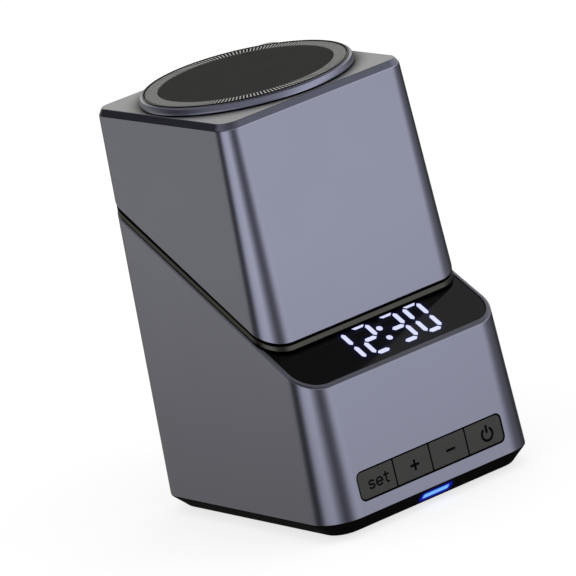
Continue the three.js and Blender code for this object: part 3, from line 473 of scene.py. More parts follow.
def on_outline(square, half_width, half_height, left, right):
    """Square border bent onto a rounded rectangle whose left and right corners have their own radius.

    Each side of the square becomes the way from the middle of one corner arc to the middle of the next,
    at an even pace.
    """
    x, y = square
    radius = np.where(x < 0, left, right)

    def travel(pace, half_long, half_short):
        """Way along one side, over its straight part and half of the bend, and the distance out."""
        straight = half_long - radius
        distance = np.abs(pace) * (straight + radius * np.pi / 4)
        bend = np.maximum(distance - straight, 0.0) / radius
        along = np.sign(pace) * (np.minimum(distance, straight) + radius * np.sin(bend))
        return along, half_short - radius * (1 - np.cos(bend))

    along_x, out_y = travel(x, half_width, half_height)
    along_y, out_x = travel(y, half_height, half_width)
    level = np.abs(y) >= 1
    return np.where(level, along_x, np.sign(x) * out_x), np.where(level, np.sign(y) * out_y, along_y)


def turned(profile, face, steps=TURN_STEPS, crest=None):
    """Profile of radius and height turned once round the middle of a face."""
    radius, height = np.asarray(profile)[:, :, None].transpose(1, 0, 2)
    around = np.linspace(0.0, 2 * np.pi, steps + 1)
    return Patch([face.at(radius * np.cos(around), radius * np.sin(around), height)], crest)


def stroke(path, half_width, height, face, pointed=False):
    """Raised line on a face: a low dome carried along a path, with both ends round or pointed."""
    path = np.asarray(path, float)
    way = np.gradient(path, axis=0)
    way /= np.linalg.norm(way, axis=1)[:, None]
    cap = np.linspace(0.0, 1.0, ROUND_STEPS + 2)[:-1]
    width = cap if pointed else np.sin(cap * np.pi / 2)
    reach = half_width * (1 - cap if pointed else np.cos(cap * np.pi / 2))
    start = path[0] - reach[:, None] * way[0]
    end = path[-1] + reach[::-1, None] * way[-1]
    line = np.concatenate([start, path, end])
    widths = np.concatenate([width, np.ones(len(path)), width[::-1]])
    ways = np.concatenate([np.repeat(way[:1], len(cap), 0), way, np.repeat(way[-1:], len(cap), 0)])
    section = np.linspace(0.0, 2 * np.pi, SECTION_STEPS + 1)
    side = half_width * widths[:, None] * np.cos(section)
    dome = np.where(np.sin(section) > 0, np.sqrt(np.abs(np.sin(section))), np.sin(section))
    x = line[:, :1] - ways[:, 1:] * side
    y = line[:, 1:] + ways[:, :1] * side
    return Patch([face.at(x, y, height * widths[:, None] * dome)])


def row_layer(patch, values):
    """Layer of a piece made of one patch, from one value for each of its rows."""
    return np.repeat(values, patch.grid.shape[1])


def point_count(patches):
    """Number of points in some patches before they are welded."""
    return sum(patch.grid[..., 0].size for patch in patches)


def add_piece(name, patches, finish, body, stands_for=(), attributes=None):
    """Welds patches into one mesh with its faces outwards, and lets it ride on a body of the frame."""
    counts = np.cumsum([0] + [patch.grid[..., 0].size for patch in patches])
    points = np.concatenate([patch.grid.reshape(-1, 3) for patch in patches])
    faces = np.concatenate([patch.faces(first) for patch, first in zip(patches, counts)])
    mesh = bpy.data.meshes.new(name)
    mesh.from_pydata(points, [], faces.tolist())
    layers = {
        layer: np.concatenate([patch.values(layer) for patch in patches]) for layer in ("crest", "glow")
    }
    layers.update(attributes or {})
    for layer, values in layers.items():
        mesh.attributes.new(layer, "FLOAT", "POINT").data.foreach_set("value", values.astype(np.float32))
    shape = bmesh.new()
    shape.from_mesh(mesh)
    bmesh.ops.remove_doubles(shape, verts=shape.verts, dist=WELD)
    bmesh.ops.recalc_face_normals(shape, faces=shape.faces)
    shape.to_mesh(mesh)
    shape.free()
    if not mesh.polygons:
        raise RuntimeError(f"{name} has no faces")
    mesh.shade_smooth()
    mesh.set_sharp_from_angle(angle=SHARP)
    mesh.materials.append(finish)
    piece = bpy.data.objects.new(name, mesh)
    bpy.context.scene.collection.objects.link(piece)
    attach(piece, body)
    if stands_for:
        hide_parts(*stands_for)
    return piece


# Finishes


class Value:
    """A number or colour in a shader; its operators add Math nodes."""

    def __init__(self, shader, socket):
        self.shader = shader
        self.socket = socket

    def math(self, operation, *terms):
        """Math node of an operation on some terms."""
        return self.shader.add("ShaderNodeMath", {"operation": operation}, dict(enumerate(terms)))

    def __add__(self, other):
        return self.math("ADD", self, other)

    __radd__ = __add__

    def __mul__(self, other):
        return self.math("MULTIPLY", self, other)

    __rmul__ = __mul__

    def __sub__(self, other):
        return self.math("SUBTRACT", self, other)

    def __rsub__(self, other):
        return self.math("SUBTRACT", other, self)

    def __truediv__(self, other):
        return self.math("DIVIDE", self, other)

    def __gt__(self, other):
        return self.math("GREATER_THAN", self, other)


class Shader:
    """Node tree of a material or the world."""

    # Sockets of a Mix node that mixes colours
    MIX_FACTOR, MIX_FIRST, MIX_SECOND, MIX_RESULT = 0, 6, 7, 2

    def __init__(self, tree):
        self.tree = tree
        tree.nodes.clear()

    def add(self, kind, settings, sockets, output=0):
        """Adds a node, sets it up, then fills its sockets with numbers or links."""
        node = self.tree.nodes.new(kind)
        for name, value in settings.items():
            if name == "stops":
                self.set_stops(node.color_ramp, value)
            else:
                setattr(node, name, value)
        for key, value in sockets.items():
            if isinstance(value, Value):
                self.tree.links.new(value.socket, node.inputs[key])
            else:
                node.inputs[key].default_value = value
        return Value(self, node.outputs[output]) if node.outputs else None

    @staticmethod
    def set_stops(ramp, stops):
        """Gives a ramp its stops, as pairs of a place from 0 to 1 and a colour."""
        for place, _ in stops[len(ramp.elements) :]:
            ramp.elements.new(place)
        for element, (place, shade) in zip(ramp.elements, stops):
            element.position = place
            element.color = (*shade, 1.0)

    def mix(self, factor, first, second):
        """First colour where the factor is 0, second where it is 1."""
        sockets = {
            self.MIX_FACTOR: factor,
            self.MIX_FIRST: solid(first),
            self.MIX_SECOND: solid(second),
        }
        settings = {"data_type": "RGBA", "clamp_factor": True}
        return self.add("ShaderNodeMix", settings, sockets, self.MIX_RESULT)

    def place(self):
        """The point on the piece, in metres."""
        return self.add("ShaderNodeTexCoord", {}, {}, "Object")

    def parts(self, vector):
        """X, Y and Z of a vector."""
        return [self.add("ShaderNodeSeparateXYZ", {}, {"Vector": vector}, axis) for axis in range(3)]

    def attribute(self, name):
        """Layer of that name on the piece, or 0 where the piece has none."""
        return self.add("ShaderNodeAttribute", {"attribute_name": name}, {}, "Fac")

    def noise(self, vector, size, detail=2.0):
        """Noise from 0 to 1 with grains of a size in metres."""
        sockets = {"Vector": vector, "Scale": 1 / size, "Detail": detail}
        return self.add("ShaderNodeTexNoise", {}, sockets, "Fac")

    def bump(self, height, depth):
        """Surface that rises by a depth in metres where the height is 1."""
        return self.add("ShaderNodeBump", {}, {"Height": height, "Distance": depth, "Strength": 1.0})

    def surface(self, sockets):
        """Principled surface with these sockets, as the material's output."""
        bsdf = self.add("ShaderNodeBsdfPrincipled", {}, sockets)
        self.add("ShaderNodeOutputMaterial", {}, {"Surface": bsdf})


def solid(shade):
    """Colour with full alpha, or the value as it is."""
    return shade if isinstance(shade, Value) else (*shade[:3], 1.0)


def grey(level):
    """Colour of three equal parts."""
    return (level, level, level)


def toned(shade, factor):
    """Colour made lighter or darker by a factor."""
    return tuple(min(part * factor, 1.0) for part in shade[:3])


def toned_pair(shade, factors):
    """Two versions of a colour, by two factors."""
    return [toned(shade, factor) for factor in factors]


def finish_of(name):
    """New material of that name, with its empty shader."""
    material = bpy.data.materials.new(name)
    material.use_nodes = True
    return material, Shader(material.node_tree)


def radius_of(node):
    """Half of the width of a node's box, which is the radius of a round one."""
    low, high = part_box(node)
    return (high.x - low.x) / 2


def middle_of(node):
    """Middle of a node's box."""
    return [(low + high) / 2 for low, high in zip(*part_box(node))]


# Soft shade that the puck leaves on the head's top: its strength at the rim and its reach
PUCK_SHADE = 0.85
PUCK_SHADE_REACH = 5.0 * MM


def puck_shade(across, along):
    """How dark the head's top is near the puck: falls with the square of what is left of the reach."""
    aside = along - middle_of("puck_housing")[1]
    distance = across.math("SQRT", across * across + aside * aside)
    away = distance - radius_of("puck_housing")
    near = away.math("MAXIMUM", 1 - away / PUCK_SHADE_REACH, 0.0)
    return PUCK_SHADE * near * near


# How much detail soft clouds, stains and smears have
CLOUD_DETAIL = 3.0
SMEAR_DETAIL = 4.0

# Satin metal: grain, clouds, painted shade on the tower's foot and left side, a painted highlight along the edges,
# and matt places
SATIN_GRAIN = 0.16 * MM
SATIN_GRAIN_DEPTH = 0.004 * MM
SATIN_GRAIN_ROUGH = 0.06
SATIN_CLOUD = 14.0 * MM
SATIN_CLOUD_TONES = (0.97, 1.03)
SATIN_SHADE_HEIGHT = 75.0 * MM
SATIN_FOOT_SHADE_TONES = (0.66, 0.83)
SATIN_LEFT = -34.0 * MM
SATIN_LEFT_RUN = 8.0 * MM
SATIN_EDGE_SMOOTH = 0.04
SATIN_HIGHLIGHT_SHARE = 0.22
SATIN_ROUGHNESS = 0.2
SATIN_MATT_ROUGH = 0.3
SATIN_MATT_DULL = 0.65


def satin_metal(name, shade, highlight_shade, blasted, roughness=SATIN_ROUGHNESS, highlight_share=SATIN_HIGHLIGHT_SHARE):
    """Anodised metal: fine grain, faint clouds, painted shade towards the foot and the left side, a painted
    highlight along the edges, matt places, and black painted shade in hollows, gaps and round the puck.
    """
    material, shader = finish_of(name)
    place = shader.place()
    across, along, height = shader.parts(place)
    grain = shader.noise(place, SATIN_GRAIN)
    cloud = shader.noise(place, SATIN_CLOUD, CLOUD_DETAIL)
    crest = shader.attribute("crest")
    # Painted shade: the metal is darker towards the tower's foot and its left side, and this fades out higher up
    low = shader.mix((across - SATIN_LEFT) / SATIN_LEFT_RUN, *toned_pair(shade, SATIN_FOOT_SHADE_TONES))
    high = shader.mix(cloud, *toned_pair(shade, SATIN_CLOUD_TONES))
    body = shader.mix(height / SATIN_SHADE_HEIGHT, low, high)
    # Painted highlight: along the rounded edges the colour turns towards the edge colour
    highlighted = shader.mix(crest * highlight_share, body, highlight_shade)
    matt = shader.attribute("matt")
    # Painted shade: black in hollows and gaps, and darker round the puck on matt places
    dark = shader.attribute("valley") + matt * puck_shade(across, along)
    uneven = SATIN_GRAIN_ROUGH * grain - SATIN_EDGE_SMOOTH * crest
    shader.surface({
        "Base Color": shader.mix(dark, shader.mix(matt, highlighted, blasted), BLACK),
        "Metallic": 1 - SATIN_MATT_DULL * matt,
        "Roughness": roughness + uneven + SATIN_MATT_ROUGH * matt,
        "Normal": shader.bump(grain, SATIN_GRAIN_DEPTH),
    })
    return material


# Moulded finishes: clouds, uneven roughness and how much of the edge tone shows on the lighter edges
MOULD_CLOUD = 9.0 * MM
MOULD_CLOUD_TONES = (0.9, 1.1)
MOULD_UNEVEN = 0.12
MOULD_EDGE_SHARE = 0.3
MOULD_EDGE_TONE = 1.7


def moulded(name, shade, surface, hollow_shade=None, glow=BLACK, edge_tone=MOULD_EDGE_TONE):
    """Moulded plastic or rubber: a fine skin, an uneven tone, lighter edges, painted shade in hollows and painted
    light spilt on it.

    The surface is a row of SKINS.
    """
    roughness, grain_size, depth, gloss = surface
    material, shader = finish_of(name)
    place = shader.place()
    grain = shader.noise(place, grain_size * MM)
    cloud = shader.noise(place, MOULD_CLOUD, CLOUD_DETAIL)
    body = shader.mix(cloud, *toned_pair(shade, MOULD_CLOUD_TONES))
    lighter_edges = shader.mix(shader.attribute("crest") * MOULD_EDGE_SHARE, body, toned(shade, edge_tone))
    shader.surface({
        # Painted shade: hollows take the hollow colour
        "Base Color": shader.mix(shader.attribute("valley"), lighter_edges, hollow_shade or shade),
        "Roughness": roughness - MOULD_UNEVEN / 2 + MOULD_UNEVEN * grain,
        "Specular IOR Level": gloss,
        "Normal": shader.bump(grain, depth * MM),
        "Emission Color": shader.mix(shader.attribute("glow"), BLACK, glow),
        "Emission Strength": 1.0,
    })
    return material


# Smoked panel: its smears and its polish
SMEAR_SIZE = 6.0 * MM
SMEAR_TONES = (0.7, 0.9)
SMEAR_ROUGH = 0.05
POLISH = 0.05


def smoked_panel(name, shade, glow):
    """Polished dark panel with faint smears, and the digits' light spreading in it."""
    material, shader = finish_of(name)
    smear = shader.noise(shader.place(), SMEAR_SIZE, SMEAR_DETAIL)
    shader.surface({
        "Base Color": shader.mix(smear, *toned_pair(shade, SMEAR_TONES)),
        "Roughness": POLISH + SMEAR_ROUGH * smear,
        "Emission Color": shader.mix(shader.attribute("glow"), BLACK, glow),
        "Emission Strength": 1.0,
    })
    return material


# Lit pieces: the fine cloud in them, how much it takes off the light, and the piece's own dark tone
CLOUDY_GRAIN = 0.4 * MM
CLOUDY_SHARE = 0.06
CLOUDY_ROUGH = 0.1
LIT_ROUGHNESS = 0.25
UNLIT_TONE = 0.2


def lit_finish(name, middle, edge):
    """Light that fades from its middle to its edge by the piece's core layer."""
    material, shader = finish_of(name)
    cloudy = shader.noise(shader.place(), CLOUDY_GRAIN)
    share = shader.attribute("core") * (1 - CLOUDY_SHARE + CLOUDY_SHARE * cloudy)
    shader.surface({
        "Base Color": solid(toned(edge, UNLIT_TONE)),
        "Roughness": LIT_ROUGHNESS + CLOUDY_ROUGH * cloudy,
        "Emission Color": shader.mix(share, edge, middle),
        "Emission Strength": 1.0,
    })
    return material


# Plated steel: streaks drawn out along X, and stains
STREAK_SIZE = 0.12 * MM
STREAK_STRETCH = (0.08, 1.0, 1.0)
STREAK_DEPTH = 0.004 * MM
STREAK_ROUGH = 0.2
STAIN_SIZE = 3.0 * MM
STAIN_TONES = (0.85, 1.08)
STEEL_ROUGHNESS = 0.24


def plated_steel(name, shade):
    """Zinc plated steel with fine brushed streaks along X and faint stains."""
    material, shader = finish_of(name)
    place = shader.place()
    drawn = {"Vector": place, "Scale": STREAK_STRETCH}
    streak = shader.noise(shader.add("ShaderNodeMapping", {}, drawn, "Vector"), STREAK_SIZE, CLOUD_DETAIL)
    stain = shader.noise(place, STAIN_SIZE, CLOUD_DETAIL)
    shader.surface({
        "Base Color": shader.mix(stain, *toned_pair(shade, STAIN_TONES)),
        "Metallic": 1.0,
        "Roughness": STEEL_ROUGHNESS + STREAK_ROUGH * streak,
        "Normal": shader.bump(streak, STREAK_DEPTH),
    })
    return material


# Circuit board: pitch and width of the tracks, the bare pads and the lacquer over both
TRACK_PITCH = 2.4 * MM
TRACK_WIDTH = 0.09
TRACK_SOFT = 0.2
TRACK_ROUGH = 0.08
TRACK_DEPTH = 0.02 * MM
PAD_PITCH = 3.1 * MM
PAD_RADIUS = 0.16
PAD_SMOOTH = 0.12
LACQUER_TONES = (0.75, 1.35)
LACQUER_ROUGHNESS = 0.4


def solder_mask(name, shade, copper):
    """Circuit board: square copper tracks under green lacquer, with bare pads at some crossings."""
    material, shader = finish_of(name)
    place = shader.place()
    tracks = {
        "Vector": place,
        "Scale": 1 / TRACK_PITCH,
        "Mortar Size": TRACK_WIDTH,
        "Mortar Smooth": TRACK_SOFT,
    }
    track = shader.add("ShaderNodeTexBrick", {}, tracks, "Fac")
    spot = shader.add("ShaderNodeTexVoronoi", {}, {"Vector": place, "Scale": 1 / PAD_PITCH}, "Distance")
    pad = 1 - (spot > PAD_RADIUS)
    lacquer = shader.mix(track, *toned_pair(shade, LACQUER_TONES))
    shader.surface({
        "Base Color": shader.mix(pad, lacquer, copper),
        "Metallic": pad,
        "Roughness": LACQUER_ROUGHNESS - PAD_SMOOTH * pad + TRACK_ROUGH * track,
        "Normal": shader.bump(track + pad, TRACK_DEPTH),
    })
    return material


# Wound copper: pitch of the turns, how evenly they lie, the painted shade between the turns, and the enamel
TURN_PITCH = 1.2 * MM
TURN_WANDER = 0.3
TURN_DEPTH = 0.06 * MM
TURN_SMOOTH = 0.12
BETWEEN_TURNS_SHADE = 0.35
ENAMEL_METAL = 0.9
ENAMEL_ROUGHNESS = 0.38


def wound_copper(name, shade):
    """Enamelled winding: fine rings round the coil's middle, with painted shade between the turns."""
    material, shader = finish_of(name)
    low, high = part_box("charging_coil")
    moved = {"Vector": shader.place(), "Location": -(low + high) / 2}
    centred = shader.add("ShaderNodeMapping", {}, moved, "Vector")
    turns = {"Vector": centred, "Scale": 1 / TURN_PITCH, "Distortion": TURN_WANDER}
    settings = {"wave_type": "RINGS", "rings_direction": "Z"}
    turn = shader.add("ShaderNodeTexWave", settings, turns, "Fac")
    shader.surface({
        "Base Color": shader.mix(turn, toned(shade, BETWEEN_TURNS_SHADE), shade),
        "Metallic": ENAMEL_METAL,
        "Roughness": ENAMEL_ROUGHNESS - TURN_SMOOTH * turn,
        "Normal": shader.bump(turn, TURN_DEPTH),
    })
    return material


# The moulded finishes' own values: roughness, size and depth of the grain in millimetres, and gloss
SKINS = {
    "black_plastic": (0.55, 0.25, 0.01, 0.12),
    "key": (0.6, 0.18, 0.008, 0.2),
    "pad": (0.75, 0.3, 0.012, 0.08),
    "ribbed": (0.6, 0.2, 0.006, 0.15),
    "rubber": (0.8, 0.35, 0.02, 0.5),
    "magnet": (0.6, 0.4, 0.01, 0.5),
    "lead": (0.6, 0.5, 0.02, 0.5),
    "nylon": (0.5, 0.4, 0.01, 0.5),
    "mark": (0.7, 0.2, 0.004, 0.05),
}
RIB_HIGHLIGHT_TONE = 4.0
PUCK_ROUGHNESS = 0.28
PUCK_HIGHLIGHT_SHARE = 0.45
DIGIT_EDGE_TONE = 0.8


def make_finishes(tones):
    """One finish for each material slot of the record, and the finishes of marks and light."""
    # The metal's edge colour serves as a painted highlight along the metal's edges
    edge, blasted, band = tones.metal_edge, tones.blasted, tones.band
    return {
        "metal_shell": satin_metal("satin_metal", tones.metal, edge, blasted),
        "puck": satin_metal("puck_metal", tones.puck, edge, blasted, PUCK_ROUGHNESS, PUCK_HIGHLIGHT_SHARE),
        "black_plastic": moulded(
            "moulded_black", tones.black, SKINS["black_plastic"], glow=tones.light_edge
        ),
        "deck": smoked_panel("smoked_panel", tones.deck, tones.glow),
        "band": satin_metal("dark_band", band, band, band),
        # The key caps' sides are painted in the marks' dark tone as shade in the seams
        "key": moulded("key_skin", tones.key, SKINS["key"], hollow_shade=tones.mark),
        "pad": moulded("pad_silicone", tones.pad, SKINS["pad"]),
        # The ribbed ring's grooves are painted in the rubber's dark tone as shade, and its rib tops get a painted
        # highlight
        "ribbed": moulded(
            "ribbed_grey", tones.ribbed, SKINS["ribbed"], hollow_shade=tones.rubber, edge_tone=RIB_HIGHLIGHT_TONE
        ),
        "rubber": moulded("foot_rubber", tones.rubber, SKINS["rubber"]),
        "light": lit_finish("light_pipe", tones.light_core, tones.light_edge),
        "steel": plated_steel("plated_steel", tones.steel),
        "board": solder_mask("solder_mask", tones.board, tones.copper),
        "copper": wound_copper("wound_copper", tones.copper),
        "magnet": moulded("sintered_grey", tones.magnet, SKINS["magnet"]),
        "lead": moulded("wire_sleeve", tones.lead, SKINS["lead"]),
        "nylon": moulded("natural_nylon", tones.nylon, SKINS["nylon"]),
        "mark": moulded("mark_ink", tones.mark, SKINS["mark"]),
        "digit": lit_finish("digit_light", tones.digit, toned(tones.digit, DIGIT_EDGE_TONE)),
    }


finishes = {}
SLOTS = {part["node"]: part["material_slot"] for part in frame["record"]["subparts"]}


# Places that several pieces share

# Blocks of the base's wall round the openings for keys and socket: share of the flat, steps in and beside it
KEY_BLOCK_HALF = 0.986
KEY_BLOCK_STEPS = 60
KEY_SIDE_STEPS = 1
SOCKET_BLOCK_HALF = 0.3
SOCKET_BLOCK_STEPS = 28
SOCKET_SIDE_STEPS = 8
BLOCK_ROWS = 14
BLOCK_HALF_HEIGHT = 4.9 * MM

# Lip round an opening: the flat strip beside it and the rounding of its edges
LIP_GROW = 0.15 * MM
LIP_ROUND = 0.12 * MM


def base_columns():
    """Columns of the base, with a block for the keys in front and one for the socket behind."""
    back = flat_with_block(SOCKET_BLOCK_HALF, SOCKET_BLOCK_STEPS, SOCKET_SIDE_STEPS)
    front = flat_with_block(KEY_BLOCK_HALF, KEY_BLOCK_STEPS, KEY_SIDE_STEPS)
    return Columns([back, PLAIN_FLAT, front, PLAIN_FLAT])


def head_tower(sizes):
    """The tower above the split, whose flats have no openings."""
    return Tower(sizes, sizes.head_setback, Columns([PLAIN_FLAT] * len(CORNER_SIGNS)))


def key_face(sizes, keys):
    """The front face round the middle of the keys."""
    tower = Tower(sizes, 0.0, None)
    front = tower.section(0.0, keys.row_height)[1]
    up = np.array([0.0, np.sin(sizes.front_draft), np.cos(sizes.front_draft)])
    return Face([0.0, front, sizes.metal_edge + keys.row_height], RIGHT, up)


def socket_face(sizes):
    """The back face round the middle of the power socket."""
    height = middle_of("usb_inlet")[2]
    back = Tower(sizes, 0.0, None).section(0.0, height - sizes.metal_edge)[2]
    up = np.array([0.0, -np.sin(sizes.back_draft), np.cos(sizes.back_draft)])
    return Face([0.0, back, height], -RIGHT, up)


def skirt_face(sizes, tray):
    """The tray's front skirt round the middle of the light bar."""
    tower = Tower(sizes, 0.0, None)
    foot_front = tower.section(tray.skirt_inset, tray.ground_gap - sizes.metal_edge)[1]
    top_front = tower.section(0.0, -tray.seam)[1]
    foot = np.array([0.0, foot_front, tray.ground_gap])
    top = np.array([0.0, top_front, sizes.metal_edge - tray.seam])
    up = unit(top - foot)
    return Face(foot + up * tray.light_up + RIGHT * tray.light_shift, RIGHT, up)


def deck_face(display):
    """The deck's upper face, with its middle on the swivel axis."""
    return Face(SWIVEL_POINT - SLANT_NORMAL * display.deck_recess, RIGHT, SLANT_UP)


def puck_face(sizes):
    """The head's top face round the middle of the puck."""
    top = sizes.metal_edge + sizes.metal_height + sizes.bevel_rise
    return Face([0.0, middle_of("puck_housing")[1], top], RIGHT, BACK)


def slot_patch(face, square, outer, inner, half_width, half_height, radius, depth):
    """Way from a block's border in the outer wall over a rounded lip to the border in the inner wall."""
    lip = Profile([(LIP_GROW, 0.0), (0.0, 0.0), (0.0, -depth), (LIP_GROW, -depth)], LIP_ROUND)
    loops = []
    for grow, out in lip.points:
        loops.append(face.outline(square, half_width + grow, half_height + grow, radius + grow, out))
    return Patch([outer, *loops, inner], np.concatenate([[0.0], lip.crest, [0.0]]))


class CLOCK_OT_base_shell(bpy.types.Operator):
    """Metal shell of the base, with the slanted rim and the openings for keys and socket"""

    bl_idname = "clock.base_shell"
    bl_label = "Base shell"

    # The ledge inside the rim that carries the deck
    LEDGE = 5.2 * MM
    LEDGE_DEPTH = 1.6 * MM
    LEDGE_END = 8.6 * MM
    LEDGE_INSET = 3.4 * MM
    BELOW_RIM = 1.6 * MM
    RIM_MATT = 0.28
    SOCKET_GAP = 0.3 * MM
    WALL_STEPS = 8
    INNER_STEPS = 4

    def execute(self, context):
        sizes, keys = context.scene.clock_tower, context.scene.clock_keys
        columns = base_columns()
        tower = Tower(sizes, 0.0, columns)
        middle = sizes.metal_edge + keys.row_height
        heights = middle + BLOCK_HALF_HEIGHT * cosine_steps(BLOCK_ROWS)
        edge = sizes.metal_edge
        foot = Profile([(sizes.wall, edge), (0.0, edge), (0.0, heights[0])], sizes.edge_round)
        rim = Profile(
            [
                (0.0, -self.BELOW_RIM),
                (0.0, -sizes.rim_fall - sizes.rim_bevel),
                (sizes.rim_bevel, -sizes.rim_fall),
                (sizes.rim_width, 0.0),
                (sizes.rim_width, -self.LEDGE),
                (self.LEDGE_INSET, -self.LEDGE),
                (self.LEDGE_INSET, -self.LEDGE - self.LEDGE_DEPTH),
                (sizes.wall, -self.LEDGE_END),
            ],
            sizes.edge_round / 2,
        )
        lower = [tower.level(inset, height) for inset, height in foot.points[:-1]]
        outer = [tower.level(0.0, height) for height in heights]
        upper = [tower.slanted(inset, rise) for inset, rise in rim.points]
        inner = [tower.level(sizes.wall, height) for height in heights[::-1]]
        wall = between(outer[-1], upper[0], self.WALL_STEPS)
        inner_wall = between(upper[-1], inner[0], self.INNER_STEPS)
        rings = [np.array(part) for part in (lower, outer, wall, upper, inner_wall, inner, lower[:1])]
        crests = [foot.crest[:-1], np.zeros(len(outer) + len(wall)), rim.crest]
        crests.append(np.zeros(len(inner_wall) + len(inner) + 1))
        shell = Patch(rings, np.concatenate(crests))
        first = len(lower)
        last = first + BLOCK_ROWS
        inner_last = len(shell.grid) - len(inner) - 1
        inner_first = inner_last + BLOCK_ROWS
        low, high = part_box("usb_inlet")
        openings = [
            (
                key_face(sizes, keys),
                columns.span(FRONT_FLAT, KEY_BLOCK_HALF),
                (keys.strip_width + keys.gap) / 2,
                keys.cap_height / 2 + keys.gap,
                keys.outer_corner + keys.gap,
            ),
            (
                socket_face(sizes),
                columns.span(BACK_FLAT, SOCKET_BLOCK_HALF),
                (high.x - low.x) / 2 + self.SOCKET_GAP,
                (high.z - low.z) / 2 + self.SOCKET_GAP,
                (high.z - low.z) / 2 + self.SOCKET_GAP - WELD,
            ),
        ]
        patches = [shell]
        for face, block, *outline in openings:
            outside = border(shell.grid, (first, last), block)
            inside = border(shell.grid, (inner_first, inner_last), block)
            square = square_border(block[1] - block[0], BLOCK_ROWS)
            shell.open((first, last), block)
            shell.open((inner_first, inner_last), block)
            patches.append(slot_patch(face, square, outside, inside, *outline, sizes.wall))
        matt = np.zeros(len(shell.grid))
        rim_start = first + len(outer) + len(wall)
        on_top = rim.points[:, 1] > -sizes.rim_fall
        matt[rim_start : rim_start + len(on_top)] = self.RIM_MATT * on_top
        plain = np.zeros(point_count(patches[1:]))
        layers = {"matt": np.concatenate([row_layer(shell, matt), plain])}
        finish = finishes["metal_shell"]
        add_piece("base_cover", patches, finish, "base", ["base_shell"], layers)
        return {"FINISHED"}


class CLOCK_OT_head_shell(bpy.types.Operator):
    """Metal cup of the head, with its bevelled top and the hole under the puck"""

    bl_idname = "clock.head_shell"
    bl_label = "Head shell"

    HOLE_GAP = 0.3 * MM
    ABOVE_SPLIT = 1.2 * MM
    BELOW_TOP = 1.2 * MM
    WALL_STEPS = 16
    TOP_STEPS = 4
    CEILING_STEPS = 3
    INNER_STEPS = 6

    def execute(self, context):
        sizes, puck = context.scene.clock_tower, context.scene.clock_puck
        tower = head_tower(sizes)
        head_edge = sizes.metal_edge + sizes.metal_height
        top = head_edge + sizes.bevel_rise
        ceiling = top - sizes.top_wall
        face = puck_face(sizes)
        hole_radius = radius_of("puck_housing") - puck.neck_step + self.HOLE_GAP
        split = sizes.split_gap
        corners = [(sizes.wall, split), (0.0, split), (0.0, split + self.ABOVE_SPLIT)]
        foot = Profile(corners, sizes.edge_round)
        bevel = Profile(
            [
                (0.0, head_edge - self.BELOW_TOP),
                (0.0, head_edge),
                (sizes.bevel_run, top),
                (2 * sizes.bevel_run, top),
            ],
            sizes.edge_round,
        )
        lower = [tower.slanted(inset, rise) for inset, rise in foot.points]
        upper = [tower.level(inset, height) for inset, height in bevel.points]
        hole_top, hole_bottom = face.circles(hole_radius, upper[-1], (0.0, -sizes.top_wall))
        inner = tower.level(sizes.wall, ceiling)
        wall = between(lower[-1], upper[0], self.WALL_STEPS)
        top_face = [*between(upper[-1], hole_top, self.TOP_STEPS), hole_top]
        under = [hole_bottom, *between(hole_bottom, inner, self.CEILING_STEPS), inner]
        inside = [*under, *between(inner, lower[0], self.INNER_STEPS), lower[0]]
        plain_wall, plain_top, plain_inside = (np.zeros(len(part)) for part in (wall, top_face, inside))
        crest = np.concatenate([foot.crest, plain_wall, bevel.crest, plain_top, plain_inside])
        shell = Patch([*lower, *wall, *upper, *top_face, *inside], crest)
        on_top = bevel.points[:, 0] > sizes.bevel_run
        matt = [np.zeros(len(lower)), plain_wall, on_top, np.ones(len(top_face)), plain_inside]
        layers = {"matt": row_layer(shell, np.concatenate(matt))}
        finish = finishes["metal_shell"]
        add_piece("head_cover", [shell], finish, "head", ["head_shell"], layers)
        return {"FINISHED"}


class CLOCK_OT_collar(bpy.types.Operator):
    """Dark band between base and head, with its floor on the swivel"""

    bl_idname = "clock.collar"
    bl_label = "Swivel collar"

    # The band's place behind the wall, its lower and upper edge above the rim, the top of the painted shade along
    # its foot, and its fall to the back
    INSET = 0.15 * MM
    LIFT = 0.1 * MM
    UNDERSIDE = 0.35 * MM
    BAND_FOOT = 0.65 * MM
    TOP = 1.75 * MM
    LEAN = 0.006
    SPIGOT_INSET = 2.5 * MM
    SPIGOT_WALL = 1.7 * MM
    SPIGOT_TOP = 6.05 * MM
    FLOOR = 2.6 * MM
    BORE = 9.3 * MM
    ROUND = 0.15 * MM

    def execute(self, context):
        sizes = context.scene.clock_tower
        tower = head_tower(sizes)
        spigot_inner = self.SPIGOT_INSET + self.SPIGOT_WALL
        side = Profile(
            [
                (self.SPIGOT_INSET / 2, self.LIFT),
                (self.INSET, self.LIFT),
                (self.INSET, self.BAND_FOOT),
                (self.INSET, self.TOP),
                (self.SPIGOT_INSET, self.TOP),
                (self.SPIGOT_INSET, self.SPIGOT_TOP),
                (spigot_inner, self.SPIGOT_TOP),
                (spigot_inner, self.FLOOR),
            ],
            self.ROUND,
        )
        lean = np.where(side.points[:, 1] > self.LIFT + self.ROUND, self.LEAN, 0.0)
        rings = np.array([tower.slanted(*place, tilt) for place, tilt in zip(side.points, lean)])
        face = Face(SWIVEL_POINT, RIGHT, SLANT_UP)
        bore_rings = face.circles(self.BORE, rings[0], (self.FLOOR, self.UNDERSIDE))
        below = tower.slanted(self.SPIGOT_INSET, self.UNDERSIDE)
        collar = Patch([rings, *bore_rings, below, rings[:1]])
        # Painted shade: the inner rows and the band's foot below BAND_FOOT are painted black
        shaded_rows = np.ones(len(collar.grid))
        inset, rise = side.points.T
        shaded_rows[: len(side.points)] = (inset > self.INSET + self.ROUND) | (rise < self.BAND_FOOT - WELD)
        layers = {"valley": row_layer(collar, shaded_rows)}
        add_piece("collar_band", [collar], finishes["band"], "head", ["swivel_collar"], layers)
        return {"FINISHED"}


